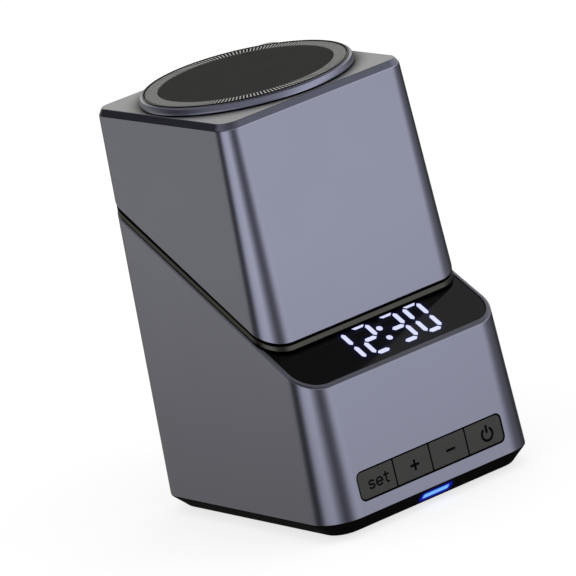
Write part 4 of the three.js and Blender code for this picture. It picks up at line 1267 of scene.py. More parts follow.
class CLOCK_OT_tray(bpy.types.Operator):
    """Black tray with its bevelled skirt, foot seats, screw holes and light slot, and the rubber feet"""

    bl_idname = "clock.tray"
    bl_label = "Tray and feet"

    FEET = 4
    BLOCK_STEPS = 12
    PLAIN_STEPS = 4
    LIGHT_STEPS = 26
    LIGHT_ROWS = 10
    LIGHT_BLOCK = 6.2 * MM
    LIGHT_BLOCK_LOW = 0.55 * MM
    LIGHT_BLOCK_HIGH = 5.65 * MM
    SLOT_ROUND = 0.1 * MM
    SEAT_MARGIN = 0.35 * MM
    SCREW_SHANK = 1.7 * MM

    # The shallow dish below a foot: its depth, and where its floor and its edge lie as shares of the radius
    DISH_DEPTH = 0.25 * MM
    DISH_FLOOR = 0.7
    DISH_EDGE = 0.8

    def execute(self, context):
        sizes, tray = context.scene.clock_tower, context.scene.clock_tray
        seat_radius = radius_of("rubber_foot_1") + tray.seat_gap
        hole_radius = radius_of("tray_screw_1") + tray.seat_gap
        foot_x, foot_y, _ = middle_of("rubber_foot_1")
        screw_x, screw_y, _ = middle_of("tray_screw_1")
        inner_x = foot_x - seat_radius - self.SEAT_MARGIN
        outer_x = screw_x + hole_radius + self.SEAT_MARGIN
        steps = self.BLOCK_STEPS
        plain_x = np.linspace(self.LIGHT_BLOCK, inner_x, self.PLAIN_STEPS + 1)[1:-1]
        block_x = inner_x + (outer_x - inner_x) * (1 + cosine_steps(steps)) / 2
        half_x = np.concatenate([plain_x, block_x])
        light_x = self.LIGHT_BLOCK * cosine_steps(self.LIGHT_STEPS)
        x = np.concatenate([-half_x[::-1], light_x, half_x])
        screw_rows = screw_y + (hole_radius + self.SEAT_MARGIN) * cosine_steps(steps)
        foot_rows = foot_y + (seat_radius + self.SEAT_MARGIN) * cosine_steps(steps)
        half_y = np.concatenate([screw_rows, foot_rows])
        y = np.concatenate([-half_y[::-1], [0.0], half_y])
        across, along = np.meshgrid(x, y)
        ground = Face([0.0, 0.0, tray.ground_gap], RIGHT, BACK)
        underside = Patch([ground.at(across, along, 0.0)])
        inside = Patch([ground.at(across, along, tray.floor)])
        patches = [underside, inside]
        seat = [(seat_radius, 0.0), (seat_radius, tray.foot_sink), (WELD, tray.foot_sink)]
        boss = [
            (hole_radius, 0.0),
            (hole_radius, tray.floor),
            (self.SCREW_SHANK, tray.floor),
            (self.SCREW_SHANK, tray.boss_height),
        ]
        for side in (1, -1):
            left = len(x) - 1 - steps if side > 0 else 0
            for end in (1, -1):
                foot_start = (len(y) - 1 - steps if end > 0 else 0, left)
                screw_start = (len(y) // 2 + 1 if end > 0 else steps + 1, left)
                foot_place = Face([side * foot_x, end * foot_y, tray.ground_gap], RIGHT, BACK)
                screw_place = Face([side * screw_x, end * screw_y, tray.ground_gap], RIGHT, BACK)
                patches.append(self.hole(underside, None, foot_start, foot_place, seat))
                patches.append(self.hole(underside, inside, screw_start, screw_place, boss))
        patches += self.sides(sizes, tray, x, y, underside, inside)
        add_piece("tray_cover", patches, finishes["black_plastic"], "base", ["bottom_tray"])
        self.add_feet(tray)
        return {"FINISHED"}

    def hole(self, outer, inner, start, place, profile):
        """Round hole in the tray's floor: circles of a radius at each height, from one side to the other."""
        row, column = start
        rows, span = (row, row + self.BLOCK_STEPS), (column, column + self.BLOCK_STEPS)
        square = square_border(self.BLOCK_STEPS, self.BLOCK_STEPS)
        loops = [border(outer.grid, rows, span)]
        for radius, height in profile:
            loops.append(place.outline(square, radius, radius, radius, height))
        outer.open(rows, span)
        if inner is not None:
            loops.append(border(inner.grid, rows, span))
            inner.open(rows, span)
        return Patch(loops)

    def sides(self, sizes, tray, x, y, underside, inside):
        """Skirt, lip and inner side: rounded rectangles whose border follows the floor's own border."""
        tower = Tower(sizes, 0.0, None)
        rows, span = (0, len(y) - 1), (0, len(x) - 1)
        floor_border = border(underside.grid, rows, span)
        inner_border = border(inside.grid, rows, span)
        square = (floor_border[:, 0] / x[-1], floor_border[:, 1] / y[-1])
        top = sizes.metal_edge - tray.seam
        lip_top = sizes.metal_edge + tray.lip_height
        lip_inner = tray.lip_inset + tray.lip_wall
        floor_top = tray.ground_gap + tray.floor
        slope = top - tray.ground_gap
        rise = skirt_face(sizes, tray).up[2]
        low = tray.ground_gap + self.LIGHT_BLOCK_LOW * rise
        high = tray.ground_gap + self.LIGHT_BLOCK_HIGH * rise
        heights = (low + high) / 2 + (high - low) / 2 * cosine_steps(self.LIGHT_ROWS)
        skirt = [(tray.skirt_inset * (top - height) / slope, height) for height in heights]
        ground = tray.ground_gap
        below = [(2 * tray.skirt_inset, ground), (tray.skirt_inset, ground)]
        foot = Profile([*below, skirt[0]], tray.edge_round)
        rest = Profile(
            [
                skirt[-1],
                (0.0, top),
                (tray.lip_inset, top),
                (tray.lip_inset, lip_top),
                (lip_inner, lip_top),
                (tray.skirt_inset + tray.floor / 2, floor_top),
            ],
            tray.edge_round / 2,
        )
        profile = np.concatenate([foot.points[1:-1], skirt, rest.points[1:]])
        crest = np.concatenate([foot.crest[1:-1], np.zeros(len(skirt)), rest.crest[1:]])
        rings = []
        for inset, height in profile:
            half, front, back, radius = tower.section(inset, height - sizes.metal_edge)
            level = Face([0.0, (front + back) / 2, height], RIGHT, BACK)
            rings.append(level.outline(square, half, (back - front) / 2, radius, 0.0))
        wall = Patch([floor_border, *rings, inner_border], np.concatenate([[0.0], crest, [0.0]]))
        first = len(foot.points) - 1
        left = int(np.argmin(np.abs(x + self.LIGHT_BLOCK)))
        block_rows, block = (first, first + self.LIGHT_ROWS), (left, left + self.LIGHT_STEPS)
        outside = border(wall.grid, block_rows, block)
        wall.open(block_rows, block)
        return [wall, self.light_slot(sizes, tray, outside)]

    def light_slot(self, sizes, tray, outside):
        """Slot for the light bar: from a block's border over the lit skirt to the slot's floor."""
        face = skirt_face(sizes, tray)
        square = square_border(self.LIGHT_STEPS, self.LIGHT_ROWS)
        half_width = tray.light_width / 2 + tray.seam
        half_height = tray.light_height / 2 + tray.seam
        way = Profile(
            [
                (tray.glow_reach, 0.0),
                (tray.glow_reach / 2, 0.0),
                (LIP_GROW, 0.0),
                (0.0, 0.0),
                (0.0, -tray.lip_inset),
                (-half_height + WELD, -tray.lip_inset),
            ],
            self.SLOT_ROUND,
        )
        loops = []
        for grow, out in way.points:
            radius = np.clip(tray.light_corner + grow, WELD / 2, half_height + grow - WELD / 2)
            loops.append(face.outline(square, half_width + grow, half_height + grow, radius, out))
        glow = np.clip(1 - way.points[:, 0] / tray.glow_reach, 0.0, 1.0)
        return Patch([outside, *loops], glow=np.concatenate([[0.0], glow]))

    def add_feet(self, tray):
        """Feet: low turned discs with a rounded edge and a shallow dish below."""
        for number in range(1, self.FEET + 1):
            name = f"rubber_foot_{number}"
            x, y, _ = middle_of(name)
            place = Face([x, y, 0.0], RIGHT, BACK)
            radius = radius_of(name)
            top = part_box(name)[1].z
            profile = Profile(
                [
                    (0.0, self.DISH_DEPTH),
                    (self.DISH_FLOOR * radius, self.DISH_DEPTH),
                    (self.DISH_EDGE * radius, 0.0),
                    (radius, 0.0),
                    (radius, top),
                    (0.0, top),
                ],
                tray.edge_round,
            )
            foot = turned(profile.points, place, SMALL_TURN_STEPS, profile.crest)
            add_piece(f"soft_foot_{number}", [foot], finishes["rubber"], "base", [name])


class CLOCK_OT_light_bar(bpy.types.Operator):
    """Blue light bar in the tray's front skirt"""

    bl_idname = "clock.light_bar"
    bl_label = "Light bar"

    STEPS_ACROSS = 32
    STEPS_UP = 10

    # From behind to the middle: share of the bar's half height, and depth below the crown in millimetres
    SECTION = (
        (1.0, 2.25),
        (1.0, 0.15),
        (0.97, 0.07),
        (0.9, 0.05),
        (0.8, 0.05),
        (0.65, 0.025),
        (0.4, 0.0),
        (0.001, 0.0),
    )
    # Share at which the light's core begins, and the run in which it becomes full
    CORE_START = 0.9
    CORE_RUN = 0.3

    def execute(self, context):
        sizes, tray = context.scene.clock_tower, context.scene.clock_tray
        face = skirt_face(sizes, tray)
        square = square_border(self.STEPS_ACROSS, self.STEPS_UP)
        half_width, half_height = tray.light_width / 2, tray.light_height / 2
        share, depth = np.array(self.SECTION).T
        loops = []
        for part, below in zip(share, depth * MM):
            shrink = (1 - part) * half_height
            radius = np.clip(tray.light_corner - shrink, WELD, half_height - shrink - WELD)
            loops.append(face.outline(square, half_width - shrink, half_height - shrink, radius, -below))
        bar = Patch(loops)
        core = np.clip((self.CORE_START - share) / self.CORE_RUN, 0.0, 1.0)
        layers = {"core": row_layer(bar, core)}
        add_piece("light_pipe", [bar], finishes["light"], "base", ["status_light_bar"], layers)
        return {"FINISHED"}


class CLOCK_OT_display(bpy.types.Operator):
    """Smoked deck with the lit digits of the time"""

    bl_idname = "clock.display"
    bl_label = "Deck and time"

    # Segments that light up in each digit: a on top, on clockwise to f, and g in the middle
    LIT = {"1": "bc", "2": "abged", "3": "abgcd", "0": "abcdef"}
    TIME = "1230"
    SEGMENT_POINTS = 4
    DOT_TOP = 0.95

    # The deck is finely divided near its front edge, over this share of the way to the swivel's hole
    FRONT_STEPS = 150
    NEAR_ROWS = 60
    NEAR_SHARE = 0.42
    FAR_ROWS = 10
    LIGHT_HEIGHT = 0.04 * MM

    def segments(self, display):
        """Ends of every lit segment, in the deck's own right and up."""
        x = display.digit_width / 2 - display.segment_width / 2
        y = display.digit_height / 2 - display.segment_width / 2
        corner = {"a": (-x, y, x, y), "b": (x, y, x, 0), "c": (x, 0, x, -y), "d": (-x, -y, x, -y)}
        corner.update({"e": (-x, 0, -x, -y), "f": (-x, y, -x, 0), "g": (-x, 0, x, 0)})
        inner, outer = display.pair_pitch / 2, display.pair_pitch / 2 + display.digit_pitch
        middles = (-outer, -inner, inner, outer)
        found = []
        for digit, middle in zip(self.TIME, middles):
            for name in self.LIT[digit]:
                ends = np.array(corner[name]).reshape(2, 2)
                trim = (display.segment_width + display.segment_gap) / 2 * unit(ends[1] - ends[0])
                found.append(np.array([ends[0] + trim, ends[1] - trim]) + [middle, 0.0])
        return found

    def execute(self, context):
        sizes, display = context.scene.clock_tower, context.scene.clock_display
        face = deck_face(display)
        rim_front = (self.rim_front(sizes) - SWIVEL_POINT) @ SLANT_UP
        lift = np.array([display.shift, rim_front + display.from_rim])
        lines = [ends + lift for ends in self.segments(display)]
        dots = [lift + [0.0, side * display.colon_pitch / 2] for side in (1, -1)]
        self.add_deck(sizes, display, face, lines, dots)
        half, height = display.segment_width / 2, self.LIGHT_HEIGHT
        patches = [
            stroke(np.linspace(start, end, self.SEGMENT_POINTS), half, height, face, pointed=True)
            for start, end in lines
        ]
        radius = display.colon_radius
        dot = [
            (0.0, -height),
            (radius, -height),
            (radius, 0.0),
            (self.DOT_TOP * radius, height),
            (0.0, height),
        ]
        for x, y in dots:
            middle = face.at(x, y, 0.0)
            patches.append(turned(dot, Face(middle, RIGHT, SLANT_UP), SMALL_TURN_STEPS))
        layers = {"core": np.ones(point_count(patches))}
        add_piece("time_digits", patches, finishes["digit"], "base", attributes=layers)
        return {"FINISHED"}

    def rim_front(self, sizes):
        """Middle of the rim's front edge, on the slanted joint's plane."""
        middle = np.array([0.5])
        ring = Tower(sizes, 0.0, Columns([middle] * len(CORNER_SIGNS))).slanted(0.0, 0.0)
        return ring[np.argmin(ring[:, 1] + np.abs(ring[:, 0]))]

    def add_deck(self, sizes, display, face, lines, dots):
        """Panel whose upper face runs from its edge to the swivel's hole, finely divided near the digits."""
        front = np.linspace(0.0, 1.0, self.FRONT_STEPS + 1)[1:-1]
        columns = Columns([PLAIN_FLAT, PLAIN_FLAT, front, PLAIN_FLAT])
        tower = Tower(sizes, 0.0, columns)
        top = -display.deck_recess
        bottom = top - display.deck_thickness
        inset = display.deck_inset
        edge = Profile([(inset, bottom), (inset, top), (2 * inset, top)], display.edge_round)
        sides = np.array([tower.slanted(*place) for place in edge.points])
        hole_top, hole_bottom = face.circles(display.deck_hole, sides[-1], (0.0, -display.deck_thickness))
        near = np.linspace(0.0, self.NEAR_SHARE, self.NEAR_ROWS + 1)[1:]
        far = np.linspace(self.NEAR_SHARE, 1.0, self.FAR_ROWS + 1)[1:]
        share = np.concatenate([near, far])[:, None, None]
        upper = sides[-1] + share * (hole_top - sides[-1])
        rings = [sides, upper, hole_bottom, sides[:1]]
        crest = np.concatenate([edge.crest, np.zeros(len(share) + 2)])
        deck = Patch(rings, crest)
        offset = deck.grid.reshape(-1, 3) - face.middle
        glow = self.glow_at(offset @ RIGHT, offset @ SLANT_UP, display, lines, dots)
        add_piece("smoked_deck", [deck], finishes["deck"], "base", ["display_deck"], {"glow": glow})

    def glow_at(self, x, y, display, lines, dots):
        """Light round the digits: falls off with the distance to the nearest segment or dot."""
        place = np.stack([x, y], axis=-1)
        least = np.full(len(place), np.inf)
        for start, end in lines:
            way = end - start
            share = np.clip(((place - start) @ way) / (way @ way), 0.0, 1.0)
            nearest = start + share[:, None] * way
            distance = np.linalg.norm(place - nearest, axis=1) - display.segment_width / 2
            least = np.minimum(least, distance)
        for dot in dots:
            least = np.minimum(least, np.linalg.norm(place - dot, axis=1) - display.colon_radius)
        return np.exp(-np.maximum(least, 0.0) / display.glow_reach)


class CLOCK_OT_keys(bpy.types.Operator):
    """Four keys of the front face with their marks"""

    bl_idname = "clock.keys"
    bl_label = "Keys"

    NAMES = ("set", "plus", "minus", "power")
    CAP_STEPS_ACROSS = 28
    CAP_STEPS_UP = 16

    # Ring on a cap's front face that keeps the edge's shading off it, as a share of the cap's height
    FRONT_RING = 0.25

    # Middle of each mark, right of and above its key's middle, in millimetres
    MARK_PLACES = {"set": (0.73, -0.17), "plus": (0.56, -0.18), "minus": (0.57, -0.2), "power": (0.9, -0.35)}
    MARK_REACH = 1.2 * MM
    LINE_POINTS = 8
    ARC_POINTS = 24

    # Power sign: a ring that is open at its top, with angles in degrees, and a bar in the gap
    RING_RADIUS = 1.72 * MM
    RING_GAP = 42.0
    RING_TOP = 90.0
    FULL_TURN = 360.0
    RING_POINTS = 40
    BAR_START = 0.35 * RING_RADIUS
    BAR_END = 1.3 * RING_RADIUS

    # Letters in units of half their height: arcs by middle, radii and two angles, lines by their ends
    S_UPPER_ARC = ((0.0, 0.5), (0.72, 0.5), 30, 255)
    S_LOWER_ARC = ((0.0, -0.5), (0.78, 0.5), 75, -155)
    E_BOWL = ((0.0, 0.0), (0.95, 1.0), 0, 318)
    E_BAR = ((-0.9, 0.0), (0.95, 0.0))
    T_STEM = ((0.0, 1.65), (0.0, -0.5))
    T_HOOK = ((0.5, -0.5), (0.5, 0.5), 180, 290)
    T_BAR = ((-0.55, 1.0), (0.75, 1.0))
    LETTER_HEIGHT = 2.1 * MM
    LETTER_PLACES = {"s": -2.45, "e": 0.05, "t": 2.2}
    LETTER_DROP = 0.2
    BOWL_POINTS = 32
    STEM_POINTS = 12

    def execute(self, context):
        sizes, keys = context.scene.clock_tower, context.scene.clock_keys
        front = key_face(sizes, keys)
        pitch = keys.strip_width / len(self.NAMES)
        for number, name in enumerate(self.NAMES):
            x = (number - (len(self.NAMES) - 1) / 2) * pitch
            face = Face(front.at(x, 0.0, -keys.recess), RIGHT, front.up)
            across, up = np.array(self.MARK_PLACES[name]) * MM
            shifted = Face(front.at(x + across, up, -keys.recess), RIGHT, front.up)
            left = keys.outer_corner if number == 0 else keys.inner_corner
            right = keys.outer_corner if number == len(self.NAMES) - 1 else keys.inner_corner
            cap, layers = self.cap(keys, face, pitch - keys.gap, left, right)
            body = f"{name}_key_body"
            add_piece(f"{name}_cap", [cap], finishes["key"], body, [f"{name}_key"], layers)
            width = keys.letter_width if name == "set" else keys.mark_width
            marks = [stroke(path, width / 2, keys.mark_height, shifted) for path in getattr(self, name)()]
            add_piece(f"{name}_mark", marks, finishes["mark"], body)
        return {"FINISHED"}

    def cap(self, keys, face, width, left, right):
        """Rounded plate: its outline shrinks over the rounded edge, then closes in front and behind."""
        square = square_border(self.CAP_STEPS_ACROSS, self.CAP_STEPS_UP)
        depth = keys.depth - keys.recess
        ring = keys.cap_height * self.FRONT_RING
        edge = Profile([(0.0, -depth), (0.0, 0.0), (ring, 0.0)], keys.edge_round)
        loops = []
        for shrink, out in edge.points:
            outline = (width / 2 - shrink, keys.cap_height / 2 - shrink)
            corners = (max(left - shrink, WELD), max(right - shrink, WELD))
            loops.append(face.at(*on_outline(square, *outline, *corners), out))
        front, behind = (np.broadcast_to(face.at(0.0, 0.0, out), loops[0].shape) for out in (0.0, -depth))
        crest = np.concatenate([[0.0], edge.crest, [0.0]])
        # Painted shade: the cap's sides take the dark hollow colour, as shade in the seams between keys
        side = np.concatenate([[True], edge.points[:, 1] < -keys.edge_round, [False]])
        plate = Patch([behind, *loops, front], crest)
        return plate, {"valley": row_layer(plate, side)}

    def arc(self, middle, radius, start, end, points=ARC_POINTS):
        """Points of an arc, with its angles in degrees."""
        turn = np.radians(np.linspace(start, end, points))
        return np.stack([np.cos(turn), np.sin(turn)], axis=-1) * radius + middle

    def line(self, start, end, points=LINE_POINTS):
        """Points of a straight line."""
        return np.linspace(start, end, points)

    def plus(self):
        """Two lines that cross."""
        reach = self.MARK_REACH
        return [self.line((-reach, 0.0), (reach, 0.0)), self.line((0.0, -reach), (0.0, reach))]

    def minus(self):
        """One level line."""
        return [self.line((-self.MARK_REACH, 0.0), (self.MARK_REACH, 0.0))]

    def power(self):
        """Ring with a gap at its top, and the bar in the gap."""
        start, end = self.RING_TOP + self.RING_GAP, self.RING_TOP + self.FULL_TURN - self.RING_GAP
        ring = self.arc((0.0, 0.0), self.RING_RADIUS, start, end, self.RING_POINTS)
        return [ring, self.line((0.0, self.BAR_START), (0.0, self.BAR_END))]

    def set(self):
        """The word set: an s of two arcs, an e of a bowl and a bar, and a t of a hooked stem and a bar."""
        upper, lower = self.arc(*self.S_UPPER_ARC), self.arc(*self.S_LOWER_ARC)
        stem = self.line(*self.T_STEM, self.STEM_POINTS)
        hook = self.arc(*self.T_HOOK, self.STEM_POINTS)
        letters = {
            "s": [np.concatenate([upper, lower])],
            "e": [self.arc(*self.E_BOWL, self.BOWL_POINTS), self.line(*self.E_BAR)],
            "t": [np.concatenate([stem, hook[1:]]), self.line(*self.T_BAR)],
        }
        return [
            (path + [self.LETTER_PLACES[letter], -self.LETTER_DROP]) * self.LETTER_HEIGHT / 2
            for letter, paths in letters.items()
            for path in paths
        ]


class CLOCK_OT_puck(bpy.types.Operator):
    """Charging puck: metal housing, ribbed ring and soft pad"""

    bl_idname = "clock.puck"
    bl_label = "Charging puck"

    # One rib and the groove after it, and how strong the painted highlight on the ribs and the painted shade in
    # the grooves are
    RIB_SHAPE = np.array([0.0, 0.0, 0.0, 1.0, 1.0, 1.0])
    RIB_HIGHLIGHT = 1.6
    RIB_SHADE = 5.0

    # The ring from its inner to its outer foot: shares of its width and height, and of the ribs' depth
    RIB_SECTION = (
        (0.0, 0.0, 0.0),
        (0.0, 1.0, 0.0),
        (0.02, 1.0, 0.0),
        (0.1, 1.0, 1.0),
        (0.5, 1.0, 1.0),
        (0.9, 1.0, 1.0),
        (0.98, 1.0, 0.0),
        (1.0, 1.0, 0.0),
        (1.0, 0.0, 0.0),
        (0.0, 0.0, 0.0),
    )
    PAD_ROUND = 0.3 * MM
    PAD_CROWN = 0.06 * MM
    PAD_CREST = 0.5
    SEAM = 0.15 * MM

    def execute(self, context):
        sizes, puck = context.scene.clock_tower, context.scene.clock_puck
        face = puck_face(sizes)
        self.add_housing(sizes, puck, face)
        self.add_pad(face)
        self.add_ribs(puck, face)
        return {"FINISHED"}

    def add_housing(self, sizes, puck, face):
        """Turned housing: rim, seat, shoulder and the neck that reaches into the head."""
        low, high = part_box("puck_housing")
        radius = (high.x - low.x) / 2
        height = high.z - face.middle[2]
        neck = radius - puck.neck_step
        seat = height - puck.seat_depth
        pocket = seat - puck.membrane
        step = radius - puck.rim_width
        rim_top = height - puck.step_rise
        profile = Profile(
            [
                (0.0, pocket),
                (neck - puck.neck_wall, pocket),
                (neck - puck.neck_wall, low.z - face.middle[2]),
                (neck, low.z - face.middle[2]),
                (neck, puck.shoulder_gap),
                (radius - puck.shoulder_step, puck.shoulder_gap),
                (radius - puck.shoulder_step, puck.lift),
                (radius, puck.lift),
                (radius, puck.lift + 2 * puck.edge_round),
                (radius - puck.wall_lean, rim_top),
                (step + puck.step_width, rim_top),
                (step + puck.step_width, height),
                (step, height),
                (step, seat),
                (0.0, seat),
            ],
            puck.edge_round,
        )
        # Painted shade: the step inside the rim and the wall's foot just above the gap are painted black
        inside = profile.points[:, 0] < step + puck.step_width + WELD
        black = inside & (profile.points[:, 1] > rim_top - puck.step_rise)
        black |= (profile.points[:, 1] > 0) & (profile.points[:, 1] < puck.lift + puck.edge_round + WELD)
        # Painted highlight along the rim's upper edges, but not on the black rows
        upper = profile.points[:, 1] > rim_top - puck.edge_round
        body = turned(profile.points, face, crest=np.where(upper & ~black, profile.crest, 0.0))
        layers = {"valley": row_layer(body, black)}
        add_piece("puck_body", [body], finishes["puck"], "head", ["puck_housing"], layers)

    def add_pad(self, face):
        """Soft disc with a rounded edge and a barely raised middle."""
        low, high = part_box("charging_pad")
        radius = (high.x - low.x) / 2
        bottom, top = low.z - face.middle[2], high.z - face.middle[2]
        outline = [(0.0, bottom), (radius, bottom), (radius, top - self.PAD_CROWN), (0.0, top)]
        profile = Profile(outline, self.PAD_ROUND)
        pad = turned(profile.points, face, crest=profile.crest * self.PAD_CREST)
        add_piece("soft_pad", [pad], finishes["pad"], "head", ["charging_pad"])

    def add_ribs(self, puck, face):
        """Ring whose height rises and falls with the angle, all over its width but at its two edges."""
        low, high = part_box("ribbed_ring")
        outer, inner = radius_of("ribbed_ring"), radius_of("charging_pad") + self.SEAM
        bottom, top = low.z - face.middle[2], high.z - face.middle[2]
        across, rise, strength = np.array(self.RIB_SECTION).T[..., None]
        around = np.linspace(0.0, 2 * np.pi, puck.ribs * len(self.RIB_SHAPE) + 1)
        phase = np.tile(self.RIB_SHAPE, puck.ribs)
        valley = np.append(phase, phase[:1])
        radius = inner + (outer - inner) * across
        lift = bottom + (top - bottom) * rise - puck.rib_height * strength * valley
        ring = Patch([face.at(radius * np.cos(around), radius * np.sin(around), lift)])
        # Painted highlight on the rib tops, and painted shade in the grooves
        tick_highlight = self.RIB_HIGHLIGHT * strength * (1 - valley)
        hollow_shade = self.RIB_SHADE * strength * valley
        layers = {"valley": hollow_shade.ravel(), "crest": tick_highlight.ravel()}
        add_piece("rib_ring", [ring], finishes["ribbed"], "head", ["ribbed_ring"], layers)


class CLOCK_OT_socket(bpy.types.Operator):
    """Power socket in the back: drawn steel mouth round a contact tongue"""

    bl_idname = "clock.socket"
    bl_label = "Power socket"

    WALL = 0.3 * MM
    FLOOR = 1.1 * MM
    TONGUE_HALF_WIDTH = 3.35 * MM
    TONGUE_HALF_HEIGHT = 0.35 * MM
    TONGUE_SHORT = 0.9 * MM
    ROUND = 0.12 * MM
    STEPS_ACROSS = 28
    STEPS_UP = 12

    def execute(self, context):
        low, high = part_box("usb_inlet")
        depth = high.y - low.y
        face = Face([0.0, high.y, (low.z + high.z) / 2], -RIGHT, UP)
        half_width, half_height = (high.x - low.x) / 2, (high.z - low.z) / 2
        square = square_border(self.STEPS_ACROSS, self.STEPS_UP)
        floor = self.FLOOR - depth
        shell = Profile(
            [
                (half_height - WELD, -depth),
                (0.0, -depth),
                (0.0, 0.0),
                (self.WALL, 0.0),
                (self.WALL, floor),
                (half_height - WELD, floor),
            ],
            self.ROUND,
        )
        mouth = self.tube(shell, square, face, half_width, half_height)
        tongue = Profile(
            [
                (self.TONGUE_HALF_HEIGHT - WELD, floor - self.ROUND),
                (0.0, floor - self.ROUND),
                (0.0, -self.TONGUE_SHORT),
                (self.TONGUE_HALF_HEIGHT - WELD, -self.TONGUE_SHORT),
            ],
            self.ROUND,
        )
        blade = self.tube(tongue, square, face, self.TONGUE_HALF_WIDTH, self.TONGUE_HALF_HEIGHT)
        add_piece("socket_mouth", [mouth], finishes["steel"], "base", ["usb_inlet"])
        add_piece("socket_tongue", [blade], finishes["black_plastic"], "base")
        return {"FINISHED"}

    def tube(self, profile, square, face, half_width, half_height):
        """Rounded outline that shrinks by the profile's first value at the depth of its second."""
        loops = []
        for shrink, out in profile.points:
            radius = max(half_height - shrink - WELD / 2, WELD / 2)
            loops.append(face.outline(square, half_width - shrink, half_height - shrink, radius, out))
        return Patch(loops, profile.crest)


class CLOCK_OT_inside(bpy.types.Operator):
    """Finishes of the pieces that stay as the frame has them"""

    bl_idname = "clock.inside"
    bl_label = "Inner pieces"

    def execute(self, context):
        for name, node in frame["nodes"].items():
            node.data.materials.clear()
            node.data.materials.append(finishes[SLOTS[name]])
        return {"FINISHED"}


class CLOCK_OT_stage(bpy.types.Operator):
    """Pale floor, soft light and the camera"""

    bl_idname = "clock.stage"
    bl_label = "Stage"

    SENSOR = 36.0
    VIEW_END = 100.0
    LAMP_SIZE = 0.9
    LAMP_PLACE = (0.35, -0.75, 1.25)

    # Floor: its shade and fibres, and the shares of shadow and of plain white that the camera sees
    FLOOR_SHADE = (0.8, 0.8, 0.8)
    FIBRE = 5.0 * MM
    FIBRE_TONE = 0.99
    SHADOW_SHARE = 0.34
    FLOOR_LIGHT = 0.74

    # Studio that glossy surfaces see: azimuth from the front in degrees, level and warmth
    WALLS = (
        (-180, 0.3, 1.0),
        (-150, 0.5, 1.0),
        (-135, 0.46, 1.0),
        (-122, 0.1, 0.0),
        (-104, 0.08, 0.0),
        (-84, 1.05, 0.0),
        (-58, 1.22, 0.0),
        (-38, 0.45, 0.0),
        (-24, 0.14, 0.0),
        (-8, 0.24, 0.0),
        (10, 0.95, 0.0),
        (24, 1.1, 0.0),
        (37, 1.0, 0.0),
        (50, 0.5, 0.0),
        (66, 0.26, 0.0),
        (86, 0.2, 0.0),
        (108, 0.05, 0.0),
        (180, 0.3, 1.0),
    )
    LOW_SKY = (
        (-180, 0.3, 1.0),
        (-165, 0.03, 0.0),
        (-125, 0.03, 0.0),
        (-108, 0.06, 0.0),
        (-78, 0.18, 0.0),
        (-40, 0.3, 0.0),
        (0, 0.42, 0.0),
        (26, 0.9, 0.0),
        (54, 0.98, 0.0),
        (80, 0.5, 0.0),
        (105, 0.6, 0.5),
        (165, 0.94, 0.9),
        (180, 0.3, 1.0),
    )
    # The same above both: sine of the elevation and level in front, and the level behind
    HIGH_SKY = ((0.4, 0.35), (0.56, 0.33), (0.68, 0.28), (0.8, 0.05), (1.0, 0.05))
    BACK_SKY = 0.3
    NADIR = 0.03
    WARM_TINT = np.array([0.0, -0.027, -0.143])
    RAMP_FRONT = 0.5

    # Where one part of the studio begins to pass into the next, as sines of the elevation, and how fast
    LOW_SKY_START = -0.02
    LOW_SKY_PACE = 10.0
    HIGH_SKY_START = 0.38
    HIGH_SKY_PACE = 6.0
    NADIR_START = -0.36
    NADIR_PACE = 4.0
    BACK_SKY_PACE = 8.0

    def execute(self, context):
        scene = context.scene
        stage = scene.clock_stage
        scene.view_settings.view_transform = "Standard"
        self.add_camera(scene, stage)
        self.add_floor(stage)
        self.add_lamp(stage)
        self.add_world(scene, stage)
        return {"FINISHED"}

    def aimed(self, right, up, back, place):
        """Matrix of a camera or lamp at a place, with its own right, up and back."""
        matrix = np.eye(4)
        matrix[:3] = np.column_stack([right, up, back, place])
        return Matrix(matrix)

    def add_camera(self, scene, stage):
        """Camera that looks down on the clock from its left front, rolled as the photographed view is."""
        turn, lift, roll = stage.azimuth, stage.elevation, stage.roll
        back = np.array([np.sin(turn) * np.cos(lift), -np.cos(turn) * np.cos(lift), np.sin(lift)])
        level = np.array([np.cos(turn), np.sin(turn), 0.0])
        upright = np.cross(back, level)
        right = np.cos(roll) * level + np.sin(roll) * upright
        up = np.cos(roll) * upright - np.sin(roll) * level
        place = UP * stage.aim_height + back * stage.distance + right * stage.aim_right + up * stage.aim_up
        lens = bpy.data.cameras.new("camera")
        lens.sensor_width = self.SENSOR
        lens.lens = stage.focal
        lens.clip_end = self.VIEW_END
        camera = bpy.data.objects.new("camera", lens)
        camera.matrix_world = self.aimed(right, up, back, place)
        scene.collection.objects.link(camera)
        scene.camera = camera

    def add_floor(self, stage):
        """Pale floor that keeps the clock's shadow; the camera sees it near white."""
        corners = np.column_stack([CORNER_SIGNS * stage.floor_size / 2, np.zeros(len(CORNER_SIGNS))])
        mesh = bpy.data.meshes.new("floor")
        mesh.from_pydata(corners, [], [range(len(corners))])
        floor = bpy.data.objects.new("floor", mesh)
        bpy.context.scene.collection.objects.link(floor)
        floor.visible_glossy = False
        material, shader = finish_of("floor_paper")
        path = shader.add("ShaderNodeLightPath", {}, {}, "Is Camera Ray")
        fibre = shader.noise(shader.place(), self.FIBRE)
        shade = shader.mix(fibre, toned(self.FLOOR_SHADE, self.FIBRE_TONE), self.FLOOR_SHADE)
        plain = shader.add("ShaderNodeBsdfDiffuse", {}, {"Color": shade})
        shadow = shader.add("ShaderNodeBsdfDiffuse", {}, {"Color": solid(grey(self.SHADOW_SHARE))})
        white = shader.add("ShaderNodeEmission", {}, {"Strength": self.FLOOR_LIGHT})
        seen = shader.add("ShaderNodeAddShader", {}, {0: shadow, 1: white})
        surface = shader.add("ShaderNodeMixShader", {}, {0: path, 1: plain, 2: seen})
        shader.add("ShaderNodeOutputMaterial", {}, {"Surface": surface})
        mesh.materials.append(material)

